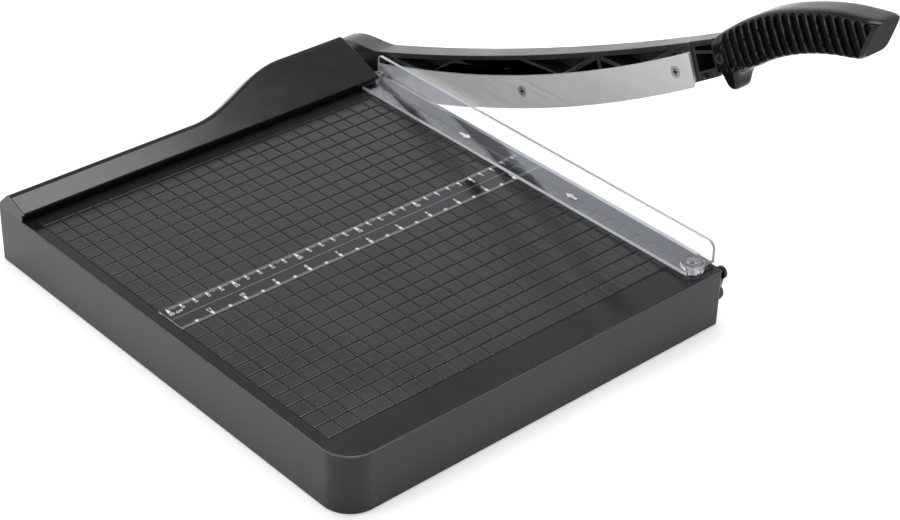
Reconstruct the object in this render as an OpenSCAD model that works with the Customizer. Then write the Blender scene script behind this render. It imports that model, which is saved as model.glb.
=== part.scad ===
// Guillotine paper trimmer: ruled bed, back fence with a pivot hood, clear paper clamp,
// swinging arm with a curved blade and a ribbed grip, and a safety latch at the front corner.
// Millimetres, +Z up, +Y towards the fence, +X towards the blade.
// The origin lies on the table, under the middle of the base.

/* [Base] */
// Side of one square of the ruled grid
grid_pitch = 12.7; // [11.5:0.1:14]
// Squares across the bed
grid_columns = 24; // [22:1:26]
// Plain margin left of the grid
side_margin = 8.5; // [7:0.5:14]
// Plain margin in front of the grid
front_margin = 25.5; // [20:0.5:30]
// Depth of the base from its front face to the fence's back wall
base_depth = 360; // [330:1:390]
// Height of the bed over the table
bed_height = 42; // [40:0.5:50]
// Thickness of the base's side walls
base_wall = 3; // [2.5:0.1:4]
// Thickness of the bed
bed_skin = 3.5; // [3:0.1:5]
// Radius of the front left corner
corner_r = 20; // [10:1:30]
// Radius of the three other corners
small_corner_r = 3; // [1:0.5:5]
// Thickness of the ribs under the bed
rib_thick = 2; // [1.5:0.1:3]
// Depth of the ribs under the bed
rib_depth = 14; // [8:0.5:18]

/* [Bottom] */
// Thickness of the bottom cover
cover_thick = 2.5; // [2:0.1:3.5]
// Gap from the table to the base's lower edge
foot_gap = 1; // [0.8:0.1:4]
// Radius of a rubber foot
foot_r = 9; // [6:0.5:12]
// Depth of a foot's seat in the bottom cover
foot_seat = 1; // [0.6:0.1:1.5]
// Distance of a foot's centre from the side walls
foot_inset = 28; // [24:1:40]
// Radius of a cover screw
cover_screw_r = 1.5; // [1.2:0.1:2]

/* [Fence and hood] */
// Depth of the fence from its lip to its back wall
fence_depth = 33.5; // [30:0.5:40]
// Height of the fence's lip over the bed
lip_height = 8.5; // [7:0.5:11]
// Depth of the undercut below the lip
lip_undercut = 4; // [3:0.5:6]
// Rise of the fence's top for each millimetre towards the back
fence_slope = 0.355; // [0.3:0.005:0.42]
// Distance from the ridge to the back wall
ridge_setback = 16.5; // [14:0.5:19]
// Fall of the rounded back from the ridge to the back wall
ridge_fall = 14; // [12:0.5:14]
// How far the hood's back wall stands behind the fence's
hood_bulge = 25.5; // [22:0.5:30]
// Straight length of the hood's back wall
hood_length = 57; // [45:1:75]
// Length of the curve from the fence to the hood
hood_sweep = 95; // [70:1:120]
// Gap from the hood's right end to the cut
hood_end_gap = 12.65; // [11:0.05:14]
// Wall of the fence cover
fence_wall = 2.4; // [2:0.1:3]
// Thickness of the end cap's plate
end_cap_thick = 2.5; // [2:0.1:4]

/* [Ruler] */
// Grid row where the ruler strip starts, from the front
ruler_row = 11; // [8:1:16]
// Width of the ruler strip in grid rows
ruler_rows = 2; // [1:1:3]
// Thickness of the ruler strip
ruler_thick = 1; // [0.6:0.1:1.5]

/* [Blades] */
// Thickness of the moving blade
blade_thick = 2; // [1.5:0.1:3]
// Gap between the two blades
blade_gap = 0.2; // [0.1:0.05:0.4]
// Radius of the blade's cutting edge
edge_radius = 1070; // [900:10:1400]
// Drop of the cutting edge's lowest point under the pivot
edge_drop = 29.3; // [27:0.1:31]
// Distance of that lowest point from the pivot
edge_low_at = 158; // [145:1:175]
// Height of the blade at its middle
blade_height = 23.4; // [20:0.2:26]
// Radius of the blade's upper edge
blade_top_radius = 1047; // [900:1:1400]
// Width of the ground bevel
bevel_width = 3; // [2:0.1:5]
// Distance of the blade's back end from the pivot
blade_back_at = 32; // [30:0.5:36]
// Distance of the blade's front end behind the base's front face
blade_front_gap = 18; // [14:0.5:22]
// Thickness of the fixed blade
counter_thick = 2.5; // [2:0.1:3.5]
// Height of the fixed blade
counter_height = 18; // [14:0.5:22]
// Radius of a blade screw
blade_screw_r = 2; // [1.6:0.1:2.4]

/* [Arm] */
// Swing of the arm above shut at rest
rest_angle = 22; // [10:1:40]
// Distance of the pivot behind the fence's back wall
pivot_back = 10.5; // [9:0.5:11]
// Depth of the pivot below the bed
pivot_drop = 6; // [5:0.5:8]
// Radius of the hub
hub_r = 18; // [16:0.5:18.5]
// Radius of the rounded tail behind the hub
tail_r = 20; // [19:0.5:21]
// Length of the neck's slope from the tail's crest down to the beam
neck_length = 48; // [42:1:56]
// Width of the arm across the cut
arm_width = 17.8; // [16:0.1:21]
// Radius of the arm's upper edge
arm_top_radius = 2300; // [1800:50:3000]
// Height of the upper edge's lowest point over the pivot
arm_top_rise = 7.9; // [7:0.1:9.5]
// Distance of that lowest point from the pivot
arm_top_at = 148; // [130:1:165]
// How far the cutting edge stands below the arm
edge_reach = 2.4; // [1.5:0.1:4]
// Thickness of the arm's upper flange
flange_thick = 3.7; // [3:0.1:5]
// Thickness of the web on the arm's outer side
web_thick = 2.8; // [2:0.1:4]
// Thickness of a truss rib
truss_rib = 3; // [2:0.1:4]
// Length of one V of the truss
truss_pitch = 74; // [60:1:90]
// Fall of a slanting truss rib from its upper to its lower joint
truss_drop = 12.4; // [9:0.2:14]
// Distance of the first upper truss joint from the pivot
truss_start = 45; // [40:1:50]

/* [Pivot] */
// Radius of the pivot bolt
bolt_r = 5; // [4:0.1:6]
// Wall of the bearing bush
bush_wall = 3; // [2:0.1:4]
// Wall of the pivot spacer
spacer_wall = 4; // [3:0.1:5]
// Thickness of the pivot bracket
bracket_thick = 4; // [3:0.1:6]
// Half width of the pivot bracket
bracket_half = 11.4; // [10.8:0.1:11.6]
// Thickness of a pivot washer
washer_thick = 1.4; // [1:0.1:2]
// Thickness of the disc spring
disc_thick = 0.9; // [0.6:0.1:1.2]
// Height of the disc spring's cone
disc_rise = 0.9; // [0.5:0.1:1.2]

/* [Handle] */
// Width of the handle across the cut
handle_width = 25.5; // [22:0.5:30]
// Spacing of the grip's slots
slot_pitch = 6.7; // [6:0.1:6.8]
// Width of a grip slot
slot_width = 5.1; // [3:0.1:5.2]
// Depth of a grip slot
slot_depth = 2.6; // [1.5:0.1:3.5]
// Number of grip slots
slot_count = 18; // [8:1:18]
// Lean of the grip slots
slot_lean = -7; // [-12:1:4]
// Length of the arm's tongue inside the handle
tongue_length = 26; // [20:1:32]

/* [Clamp] */
// Gap between the lifted clamp and the bed
clamp_gap = 1.5; // [1:0.1:2]
// Thickness of the clear sheet
clamp_thick = 2.5; // [2:0.1:3]
// Width of the clamp's foot
clamp_width = 26.2; // [22:0.1:28]
// Height of the guard's top over the bed
guard_height = 17; // [13:0.5:24]
// Radius of the guard's front corner
guard_corner_r = 6; // [3:0.5:9]
// Radius of the front guide boss
guide_boss_r = 8; // [7:0.5:9]
// Height of the guide bosses over the clamp's foot
guide_boss_height = 3.2; // [2.8:0.1:4.5]
// Radius of the guide screws' shoulders
guide_r = 1.9; // [1.5:0.1:2.1]
// Mean radius of the lifting springs
spring_r = 3.2; // [3:0.1:3.4]
// Radius of the springs' wire
wire_r = 0.4; // [0.3:0.05:0.5]
// Turns of a lifting spring
spring_turns = 5; // [3:1:6]
// Depth of the spring pockets in the bed
spring_pocket = 10; // [8:0.5:12]

/* [Latch] */
// Distance of the middle of the latch's head above the latch pin
latch_head_over = 6.2; // [5.8:0.1:8]
// Thickness of the latch
latch_thick = 2.4; // [1.8:0.1:2.6]
// Width of the latch's neck
latch_neck = 6; // [5:0.2:6.4]
// Radius of the latch's head
latch_head_r = 4.5; // [3.5:0.1:5]
// Forward lean of the released latch
latch_lean = 12; // [11:1:16]
// Radius of the latch pin
latch_pin_r = 1.6; // [1.2:0.1:1.8]

/* [Hidden] */
$fn = 64;
arc_fn = 720;
// Clearances: running fit, fit of fixed pieces, air between bodies, and overrun of a cut
run_fit = 0.05;
seat_fit = 0.1;
body_air = 0.3;
over = 1;

// Outline of the base
base_width = grid_columns * grid_pitch + side_margin;
cut_x = base_width / 2;
left_x = -base_width / 2;
front_y = -base_depth / 2;
back_y = base_depth / 2;
fence_y = back_y - fence_depth;
hood_back_y = back_y + hood_bulge;
hood_right_x = cut_x - hood_end_gap;
sweep_end_x = hood_right_x - hood_length;
sweep_start_x = sweep_end_x - hood_sweep;
sweep_steps = 24;
lip_lean = 1;
lip_face = 2;
crest_front = 2.5;
crest_back = 1.2;
crest_fall = 0.3;
shoulder = [0.3, 0.2];
flank = [0.65, 0.6];
back_extra = 0.6;
grid_left_x = left_x + side_margin;
grid_front_y = front_y + front_margin;
rim_z = foot_gap;
cover_top_z = rim_z + cover_thick;
bed_under_z = bed_height - bed_skin;
rail_width = 10;
rail_depth = 19;
least_round = 0.4;

// Screws
screw_head_ratio = 2;
pilot_fit = 0.05;
cross_width = 0.25;
cross_length = 1.1;
cross_depth = 0.7;
tip_air = 0.5;
cover_screw_length = 12;
boss_wall = 3;
boss_r = cover_screw_r + boss_wall;
fence_screw_length = 9;
fence_screw_setback = 12;
fence_screw_first = 60;
fence_screw_pitch = 64;
boss_side = 30;
boss_end = 54;

// Pivot line and stack, from the bracket outwards along X
pivot_y = back_y + pivot_back;
pivot_z = bed_height - pivot_drop;
bush_r = bolt_r + run_fit + bush_wall;
spacer_r = bolt_r + run_fit + spacer_wall;
arm_in_x = cut_x + blade_gap + blade_thick;
arm_out_x = arm_in_x + arm_width;
bracket_setback = 5;
bracket_x = hood_right_x - bracket_setback;
nut_height = 6;
nut_ratio = 1.5;
nut_r = bolt_r * nut_ratio;
head_height = 5;
head_ratio = 1.7;
head_r = bolt_r * head_ratio;
socket_r = bolt_r * 0.7;
washer_ratio = 2.1;
washer_r = bolt_r * washer_ratio;
washer_in_x = bracket_x - bracket_thick - washer_thick;
washer_out_x = arm_out_x + seat_fit;
disc_x = washer_out_x + washer_thick + seat_fit;
head_x = disc_x + disc_thick + disc_rise + seat_fit;
bracket_low_z = 8;
bracket_screw_r = 2;
bracket_screw_z = 14;
bracket_screw_spread = 6.5;
bracket_screw_length = 14;

// Blades, in the arm's own frame: u from the pivot to the handle, w up
cut_reach = pivot_y - front_y;
arm_overhang = 1.5;
arm_length = cut_reach + arm_overhang;
blade_front_at = cut_reach - blade_front_gap;
blade_top_drop = edge_drop - blade_height;
blade_top_shift = 7;
blade_top_at = edge_low_at + blade_top_shift;
blade_x = cut_x + blade_gap;
edge_flat = 0.2;
counter_setback = 22;
counter_front_y = front_y + counter_setback;
counter_back_y = fence_y + over;
counter_screw_count = 4;
counter_screw_drop = 9;
blade_screw_inset = 11;
blade_screw_length = 11;
blade_screw_rise = blade_height - blade_screw_inset;
blade_screw_back = 9.5;
blade_screw_front = 14.8;
blade_screw_mid = 186.4;
blade_screw_at = [blade_back_at + blade_screw_back, blade_screw_mid, blade_front_at - blade_screw_front];

// Bays of the arm
bay_lead = 12;
bay_end = 6;
bay_under = 4;
end_frame = 2.2;
end_rib_drop = 8.7;

// Latch
latch_setback = 7;
latch_drop = 21;
latch_y = front_y + latch_setback;
latch_z = bed_height - latch_drop;
latch_x = cut_x + body_air;
latch_hub_r = 6;
latch_boss_r = 4.5;
latch_screw_length = rail_width;
latch_dome_r = 9;
latch_shoulder_r = 2.5;
latch_pin_ahead = 3.5;
latch_pin_wall = 1.4;
latch_pin_at = pivot_y - latch_y - latch_pin_ahead;
latch_pin_rise = edge_line(latch_pin_at) + edge_reach + latch_pin_r + latch_pin_wall;
latch_pin_above = pivot_z + latch_pin_rise - latch_z;
latch_pin_reach = norm([latch_pin_ahead, latch_pin_above]);
latch_length = latch_pin_reach + latch_head_over;
latch_notch_air = 0.5;
latch_head_height = 3;
latch_bay_air = 0.5;
latch_bay = latch_thick + 2 * body_air + latch_bay_air;
latch_bay_at = blade_front_at + latch_bay_air;

// Handle: upper and lower outline points, from the arm's end and its upper edge
handle_side_air = 0.5;
handle_x = cut_x + handle_side_air;
handle_mid_x = handle_x + handle_width / 2;
handle_sides = 20;
handle_square = 5;
arm_end_top = arm_top(arm_length);
handle_start = seat_fit;
handle_upper = [
  [handle_start, 0.4], [5, 3.1], [9.3, 4.8], [18.5, 8.2], [24, 10.2], [29, 11.7], [36.2, 13.6], [44.6, 15.7],
  [54, 16.9], [65, 17.6], [77, 17.6], [89, 17.1], [103, 15.7], [117, 12.7], [129.5, 9.7], [132.5, 8.2]
];
handle_lower = [
  [handle_start, -24.4], [3.6, -24.8], [5.5, -34], [12.5, -33], [14, -23.5], [20.5, -20.6], [30.7, -18.6],
  [41.4, -15], [52, -12.6], [63, -11], [75, -10.2], [86, -10.3], [97, -11.2], [106, -12.6],
  [113.6, -13.6], [116.5, -12]
];
handle_girth = [0.86, 0.9, 0.92, 0.96, 1, 1, 1, 1, 1, 1, 1, 1, 1, 1, 0.98, 0.84];
hook_from = -18;
hook_full = -29;
hook_ratio = 0.72;
hook_shift = -2.2;
grip_first = 2;
grip_hook_top = -19;
grip_last = 14;
grip_top_band = 2;
grip_low_band = 1;
slot_first = 12.1;
slot_reach = 60;
tongue_half_height = 6;
tongue_drop = 12;
tongue_width = 10;
tongue_inset = 4.5;
tongue_x = arm_in_x + tongue_inset;
handle_screw_at = 5.5;
handle_screw_length = 18;
handle_screw_r = 1.8;
handle_screw_sink = 1.5;

// Clamp
clamp_under_z = bed_height + clamp_gap;
clamp_top_z = clamp_under_z + clamp_thick;
clamp_right_x = cut_x - body_air;
clamp_left_x = clamp_right_x - clamp_width;
clamp_setback = 8.5;
clamp_front_y = front_y + clamp_setback;
clamp_under_lip = 2.4;
clamp_back_y = fence_y + clamp_under_lip;
guard_back_reach = 13;
guard_back_y = fence_y + guard_back_reach;
guard_back_r = 3;
tongue_left_x = hood_right_x + over;
guide_inset = 17.2;
guide_setback = 12.5;
guide_front = [cut_x - guide_inset, front_y + guide_setback];
guide_rear_inset = 7.05;
guide_rear_reach = 7;
guide_rear = [cut_x - guide_rear_inset, fence_y + guide_rear_reach];
guide_rear_r = 4.4;
guide_hole_r = guide_r + body_air;
guide_head_ratio = 1.8;
guide_head_r = guide_r * guide_head_ratio;
guide_head_height = 2;
guide_length = 24;
pocket_air = 0.4;
pocket_r = spring_r + wire_r + pocket_air;
spring_low_z = bed_height - spring_pocket;
spring_high_z = clamp_under_z;
spring_rings_per_turn = 8;
wire_sides = 6;
spring_steps = spring_turns * spring_rings_per_turn;
spring_rise = spring_high_z - spring_low_z - 2 * wire_r - 2 * seat_fit;

// Height of an arc's lowest side over a station along it
function arc_rise(radius, offset) = radius - sqrt(radius * radius - offset * offset);

// Upper edge of the arm over the pivot
function arm_top(u) = arm_top_rise + arc_rise(arm_top_radius, u - arm_top_at);

// Height of the cutting edge under the pivot, as a negative number
function edge_line(u) = -edge_drop + arc_rise(edge_radius, u - edge_low_at);

// Even step from 0 to 1
function ease(t) = let (c = min(max(t, 0), 1)) c * c * (3 - 2 * c);

// Place along X of a step of the sweep
function sweep_x(k) = sweep_start_x + hood_sweep * k / sweep_steps;

// Back wall of the base and of the cover at a place along X
function back_edge(x) = back_y + hood_bulge * ease((x - sweep_start_x) / hood_sweep);

// Ridge of the fence cover
function ridge_y(x) = back_edge(x) - ridge_setback;
function ridge_z(x) = bed_height + lip_height + fence_slope * (ridge_y(x) - fence_y);

// Section of the fence cover's outside
function cover_section(x) = let (y = ridge_y(x), z = ridge_z(x), far = back_edge(x)) [
  [x, far, bed_height],
  [x, fence_y + lip_undercut, bed_height],
  [x, fence_y + lip_undercut - lip_lean, bed_height + lip_height - lip_lean - lip_face],
  [x, fence_y, bed_height + lip_height - lip_face],
  [x, fence_y, bed_height + lip_height],
  [x, y - crest_front, z - crest_front * fence_slope],
  [x, y + crest_back, z - crest_fall],
  [x, y + ridge_setback * shoulder[0], z - ridge_fall * shoulder[1]],
  [x, y + ridge_setback * flank[0], z - ridge_fall * flank[1]],
  [x, far, z - ridge_fall]
];

// Section of the fence cover's hollow, or of a plug that fits it
function hollow_section(x, inset, low) = let (y = ridge_y(x), z = ridge_z(x), far = back_edge(x)) [
  [x, fence_y + lip_undercut + inset, low],
  [x, fence_y + lip_undercut + inset, bed_height + lip_height - inset],
  [x, y, z - inset],
  [x, y + ridge_setback * flank[0] - inset, z - (ridge_fall + inset) * flank[1]],
  [x, far - inset - back_extra, max(z - ridge_fall, bed_height + back_extra + fence_wall) - inset],
  [x, far - inset - back_extra, low]
];

// Places along X where the cover's section is taken, from its right end to its left
function cover_stations(from, to) = concat(
  [to],
  [for (k = [sweep_steps:-1:0]) sweep_x(k)],
  [from]
);

// Feet and screws of the bottom cover
foot_places = [
  for (sy = [-1, 1], sx = [-1, 1]) [sx * (base_width / 2 - foot_inset), sy * (base_depth / 2 - foot_inset)]
];
cover_screw_places = [
  for (sy = [-1, 0, 1], sx = [-1, 1])
    [sx * (base_width / 2 - boss_side), sy * (base_depth / 2 - boss_end)]
];
fence_screw_places = [
  for (t = [0, 1, 2, 3]) [left_x + fence_screw_first + t * fence_screw_pitch, fence_y + fence_screw_setback]
];
end_cap_screw_place = [left_x + end_cap_thick + boss_r, fence_y + fence_screw_setback];

// Solid through a row of rings with the same number of points.
// A ring's first point sees all its others, so that the ends are fans of triangles.
module loft(rings) {
  n = len(rings[0]);
  m = len(rings);
  points = [for (ring = rings) each ring];
  sides = [
    for (i = [0:m - 2], j = [0:n - 1])
      let (a = i * n + j, b = i * n + (j + 1) % n)
        each [[a, b + n, b], [a, a + n, b + n]]
  ];
  end = (m - 1) * n;
  first_cap = [for (j = [1:n - 2]) [0, j, j + 1]];
  last_cap = [for (j = [1:n - 2]) [end, end + j + 1, end + j]];
  polyhedron(points, concat(first_cap, sides, last_cap), convexity = 8);
}

// Round bar along X
module bar_x(x0, x1, y, z, r) {
  translate([x0, y, z]) rotate([0, 90, 0]) cylinder(h = x1 - x0, r = r);
}

// Flat outline in Y and Z, extruded along +X
module on_side(x, depth) {
  translate([x, 0, 0]) rotate([90, 0, 90]) linear_extrude(depth) children();
}

// Flat outline in the arm's frame, extruded across the arm up to an outer face
module on_arm(outer_x, depth) {
  translate([outer_x, pivot_y, pivot_z])
    rotate([-rest_angle, 0, 0])
      rotate([90, 0, -90])
        linear_extrude(depth) children();
}

// Piece at a place in the arm's frame
module at_arm(u, w, x) {
  translate([x, pivot_y, pivot_z]) rotate([-rest_angle, 0, 0]) translate([0, -u, w]) children();
}

module head_left() { rotate([0, -90, 0]) children(); }
module head_right() { rotate([0, 90, 0]) children(); }
module head_down() { rotate([180, 0, 0]) children(); }

// Cross recess of a screw head
module cross_recess(r, depth) {
  for (a = [0, 90])
    rotate([0, 0, a])
      translate([-r * cross_length / 2, -r * cross_width / 2, -depth])
        cube([r * cross_length, r * cross_width, depth + over]);
}

// Countersunk screw, its head flush with z = 0 and its shaft below
module sunk_screw(r, length) {
  head = r * screw_head_ratio;
  difference() {
    union() {
      translate([0, 0, -length]) cylinder(h = length - (head - r), r = r);
      translate([0, 0, -(head - r)]) cylinder(h = head - r, r1 = r, r2 = head);
    }
    cross_recess(head, (head - r) * cross_depth);
  }
}

// Hole for a countersunk screw
module sunk_hole(r, length) {
  head = r * screw_head_ratio;
  translate([0, 0, -length - over]) cylinder(h = length + over, r = r + pilot_fit);
  translate([0, 0, -(head - r) - pilot_fit])
    cylinder(h = head - r + pilot_fit, r1 = r + pilot_fit, r2 = head + 2 * pilot_fit);
  cylinder(h = over, r = head + 2 * pilot_fit);
}

// Flat-headed screw, its head standing on z = 0 and its shaft below
module pan_screw(r, length, head, head_high) {
  difference() {
    union() {
      translate([0, 0, -length]) cylinder(h = length, r = r);
      cylinder(h = head_high, r = head);
    }
    translate([0, 0, head_high]) cross_recess(head, head_high * cross_depth);
  }
}

// Plan of the base, drawn in from its outside
module base_plan(inset) {
  big = corner_r;
  small = small_corner_r + base_wall;
  low = front_y + inset;
  right = cut_x - inset;
  left = left_x + inset;
  polygon(concat(
    [[left_x + big, low], [cut_x - small, low], [right, front_y + small]],
    [[right, hood_back_y - small], [cut_x - small, hood_back_y - inset]],
    [for (k = [sweep_steps:-1:0]) let (x = sweep_x(k)) [x, back_edge(x) - inset]],
    [[left_x + small, back_y - inset], [left, back_y - small], [left, front_y + big]]
  ));
  translate([left_x + big, front_y + big]) circle(r = big - inset);
  for (p = [[cut_x, front_y, -1, 1], [cut_x, hood_back_y, -1, -1], [left_x, back_y, 1, -1]])
    small_corner(p, small, inset);
}

// Rounded small corner of the base's plan: its place, and the ways into the plan along X and Y
module small_corner(p, reach, inset) {
  round_r = max(small_corner_r - inset, least_round);
  centre = inset + round_r;
  translate([p[0] + p[2] * centre, p[1] + p[3] * centre]) circle(r = round_r);
  corner_block(p, centre, inset, reach + over);
  corner_block(p, inset, centre, reach + over);
}

// Rectangle beside a corner, from two setbacks to a common reach
module corner_block(p, along_x, along_y, reach) {
  low_x = p[2] > 0 ? p[0] + along_x : p[0] - reach;
  low_y = p[3] > 0 ? p[1] + along_y : p[1] - reach;
  translate([low_x, low_y]) square([reach - along_x, reach - along_y]);
}

// Column between the bottom cover and the bed
module cover_boss(place) {
  translate([place[0], place[1], cover_top_z]) cylinder(h = bed_height - cover_top_z - over, r = boss_r);
}

// Ribs under the bed, clipped to the base's hollow
module bed_ribs() {
  intersection() {
    translate([0, 0, bed_under_z - rib_depth])
      linear_extrude(rib_depth + bed_skin / 2) base_plan(base_wall / 2);
    union() {
      for (k = [-1, 0, 1]) {
        translate([k * base_width / 4 - rib_thick / 2, front_y, 0]) cube([rib_thick, base_depth, bed_height]);
        translate([left_x, k * base_depth / 4 - rib_thick / 2, 0]) cube([base_width, rib_thick, bed_height]);
      }
    }
  }
}

module base_shell() color([0.16, 0.16, 0.17]) difference() {
  union() {
    difference() {
      translate([0, 0, rim_z]) linear_extrude(bed_height - rim_z) base_plan(0);
      translate([0, 0, rim_z - over]) linear_extrude(bed_under_z - rim_z + over) base_plan(base_wall);
    }
    bed_ribs();
    for (place = cover_screw_places)
      cover_boss(place);
    translate([cut_x - base_wall - rail_width, front_y + base_wall / 2, bed_under_z - rail_depth])
      cube([rail_width + base_wall / 2, guard_back_y - front_y, rail_depth + bed_skin / 2]);
    for (place = [guide_front, guide_rear])
      translate([place[0], place[1], bed_under_z - rail_depth])
        cylinder(h = rail_depth + bed_skin / 2, r = pocket_r + base_wall / 2);
    translate([bracket_x, pivot_y - bracket_half, bracket_low_z])
      cube([cut_x - bracket_x - base_wall / 2, bracket_half * 2, bed_height - bracket_low_z - bed_skin / 2]);
    bar_x(cut_x - base_wall - rail_width, cut_x - base_wall / 2, latch_y, latch_z, latch_boss_r);
  }
  ruler_seat(seat_fit);
  counter_seat(seat_fit);
  counter_screw_places() head_right() sunk_hole(blade_screw_r, blade_screw_length);
  for (place = cover_screw_places)
    translate([place[0], place[1], cover_top_z - over])
      cylinder(h = cover_screw_length + over, r = cover_screw_r + pilot_fit);
  for (place = concat(fence_screw_places, [end_cap_screw_place]))
    translate([place[0], place[1], bed_under_z - over])
      cylinder(h = bed_skin + 2 * over, r = cover_screw_r + pilot_fit);
  bar_x(bracket_x - over, cut_x + over, pivot_y, pivot_z, spacer_r + seat_fit);
  translate([bracket_x - over, pivot_y - spacer_r - seat_fit, pivot_z])
    cube([cut_x - bracket_x + 2 * over, 2 * (spacer_r + seat_fit), bed_height]);
  translate([washer_in_x - nut_height - over, pivot_y - bracket_half - seat_fit, bed_under_z - over])
    cube([bracket_x + seat_fit - washer_in_x + nut_height + over, 2 * (bracket_half + seat_fit), bed_height]);
  bracket_screw_places() head_left() translate([0, 0, -bracket_screw_length])
    cylinder(h = bracket_screw_length, r = bracket_screw_r + pilot_fit);
  for (place = [guide_front, guide_rear]) {
    translate([place[0], place[1], spring_low_z]) cylinder(h = spring_pocket + over, r = pocket_r);
    translate([place[0], place[1], clamp_top_z - guide_length])
      cylinder(h = guide_length, r = guide_r + pilot_fit);
  }
  bar_x(latch_x - latch_screw_length, cut_x + over, latch_y, latch_z, latch_shoulder_r + pilot_fit);
}

// Recess of the ruler strip, or the strip itself
module ruler_seat(fit) {
  right = cut_x - counter_thick - 2 * seat_fit + fit;
  above = fit > 0 ? over : 0;
  translate([grid_left_x - fit, grid_front_y + ruler_row * grid_pitch - fit, bed_height - ruler_thick])
    cube([right - grid_left_x + fit, ruler_rows * grid_pitch + 2 * fit, ruler_thick + above]);
}

// Rebate of the fixed blade, or the blade's blank
module counter_seat(fit) {
  beyond = fit > 0 ? over + fit : 0;
  span = counter_back_y - counter_front_y;
  translate([cut_x - counter_thick - fit, counter_front_y - fit, bed_height - counter_height - fit])
    cube([counter_thick + beyond, span + 2 * fit, counter_height + beyond]);
}

// Places of the fixed blade's screws, on its outer face
module counter_screw_places() {
  pitch = (counter_back_y - counter_front_y) / counter_screw_count;
  for (k = [0:counter_screw_count - 1])
    translate([cut_x, counter_front_y + pitch * (k + 1 / 2), bed_height - counter_screw_drop]) children();
}

// Places of the bracket's screws, on its inner face
module bracket_screw_places() {
  for (s = [-1, 1])
    translate([bracket_x - bracket_thick, pivot_y + s * bracket_screw_spread, bracket_screw_z]) children();
}

module bottom_cover() color([0.12, 0.12, 0.13]) difference() {
  translate([0, 0, rim_z]) linear_extrude(cover_thick) base_plan(base_wall + seat_fit);
  for (place = cover_screw_places)
    translate([place[0], place[1], rim_z]) head_down() sunk_hole(cover_screw_r, cover_thick);
  for (place = foot_places)
    translate([place[0], place[1], rim_z - over]) cylinder(h = foot_seat + over, r = foot_r + seat_fit);
}

module bottom_cover_screws() color([0.6, 0.6, 0.62])
  for (place = cover_screw_places)
    translate([place[0], place[1], rim_z]) head_down() sunk_screw(cover_screw_r, cover_screw_length);

// Rubber foot with a rounded sole
module rubber_foot(index) color([0.08, 0.08, 0.08])
  translate([foot_places[index][0], foot_places[index][1], 0]) {
    cylinder(h = foot_gap / 2, r1 = foot_r - foot_gap / 2, r2 = foot_r);
    translate([0, 0, foot_gap / 2]) cylinder(h = foot_gap / 2 + foot_seat, r = foot_r);
  }

module fence_cover() color([0.22, 0.22, 0.24]) {
  from = left_x + end_cap_thick + seat_fit;
  inner_to = hood_right_x - fence_wall;
  difference() {
    loft([for (x = cover_stations(from, hood_right_x)) cover_section(x)]);
    difference() {
      loft([
        for (x = cover_stations(from - over, inner_to)) hollow_section(x, fence_wall, bed_height - over)
      ]);
      for (place = fence_screw_places)
        translate([place[0], place[1], bed_height]) cylinder(h = ridge_z(hood_right_x), r = boss_r);
    }
    for (place = fence_screw_places)
      translate([place[0], place[1], bed_height - over])
        cylinder(h = fence_screw_length - bed_skin + over, r = cover_screw_r + pilot_fit);
    bar_x(inner_to - over, hood_right_x + over, pivot_y, pivot_z, spacer_r + body_air);
  }
}

module fence_end_cap() color([0.2, 0.2, 0.21]) difference() {
  union() {
    loft([for (x = [left_x + end_cap_thick, left_x]) cover_section(x)]);
    loft([
      for (x = [left_x + end_cap_thick + 2 * boss_r, left_x + end_cap_thick - seat_fit])
        hollow_section(x, fence_wall + 2 * seat_fit, bed_height)
    ]);
  }
  translate([end_cap_screw_place[0], end_cap_screw_place[1], bed_height - over])
    cylinder(h = fence_screw_length - bed_skin + over, r = cover_screw_r + pilot_fit);
}

module fence_cover_screws() color([0.6, 0.6, 0.62])
  for (place = concat(fence_screw_places, [end_cap_screw_place]))
    translate([place[0], place[1], bed_under_z]) head_down()
      pan_screw(cover_screw_r, fence_screw_length - tip_air, cover_screw_r * screw_head_ratio, cover_screw_r);

module ruler_strip() color([0.1, 0.1, 0.12]) ruler_seat(0);

module counter_blade() color([0.66, 0.66, 0.64]) difference() {
  counter_seat(0);
  counter_screw_places() head_right() sunk_hole(blade_screw_r, blade_screw_length);
}

module counter_blade_screws() color([0.55, 0.55, 0.56])
  counter_screw_places() head_right() sunk_screw(blade_screw_r, blade_screw_length);

module pivot_bracket() color([0.5, 0.5, 0.52]) difference() {
  union() {
    bar_x(bracket_x - bracket_thick, bracket_x, pivot_y, pivot_z, bracket_half);
    translate([bracket_x - bracket_thick, pivot_y - bracket_half, bracket_low_z])
      cube([bracket_thick, 2 * bracket_half, pivot_z - bracket_low_z]);
  }
  bar_x(bracket_x - bracket_thick - over, bracket_x + over, pivot_y, pivot_z, bolt_r + run_fit);
  bracket_screw_places() head_left() translate([0, 0, -bracket_thick - over])
    cylinder(h = bracket_thick + 2 * over, r = bracket_screw_r + pilot_fit);
}

module pivot_bracket_screws() color([0.6, 0.6, 0.62])
  bracket_screw_places() head_left()
    pan_screw(
      bracket_screw_r, bracket_screw_length - tip_air, bracket_screw_r * screw_head_ratio, bracket_screw_r
    );

module pivot_bolt() color([0.62, 0.62, 0.64]) {
  bar_x(washer_in_x - nut_height - over / 2, head_x + over / 2, pivot_y, pivot_z, bolt_r);
  difference() {
    bar_x(head_x, head_x + head_height, pivot_y, pivot_z, head_r);
    translate([head_x + head_height / 2, pivot_y, pivot_z])
      rotate([0, 90, 0]) cylinder(h = head_height, r = socket_r, $fn = 6);
  }
}

// Round sleeve along X
module sleeve_x(x0, x1, bore_r, outer_r) difference() {
  bar_x(x0, x1, pivot_y, pivot_z, outer_r);
  bar_x(x0 - over, x1 + over, pivot_y, pivot_z, bore_r);
}

module pivot_spacer() color([0.55, 0.55, 0.57])
  sleeve_x(bracket_x, arm_in_x - seat_fit, bolt_r + run_fit, spacer_r);

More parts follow.
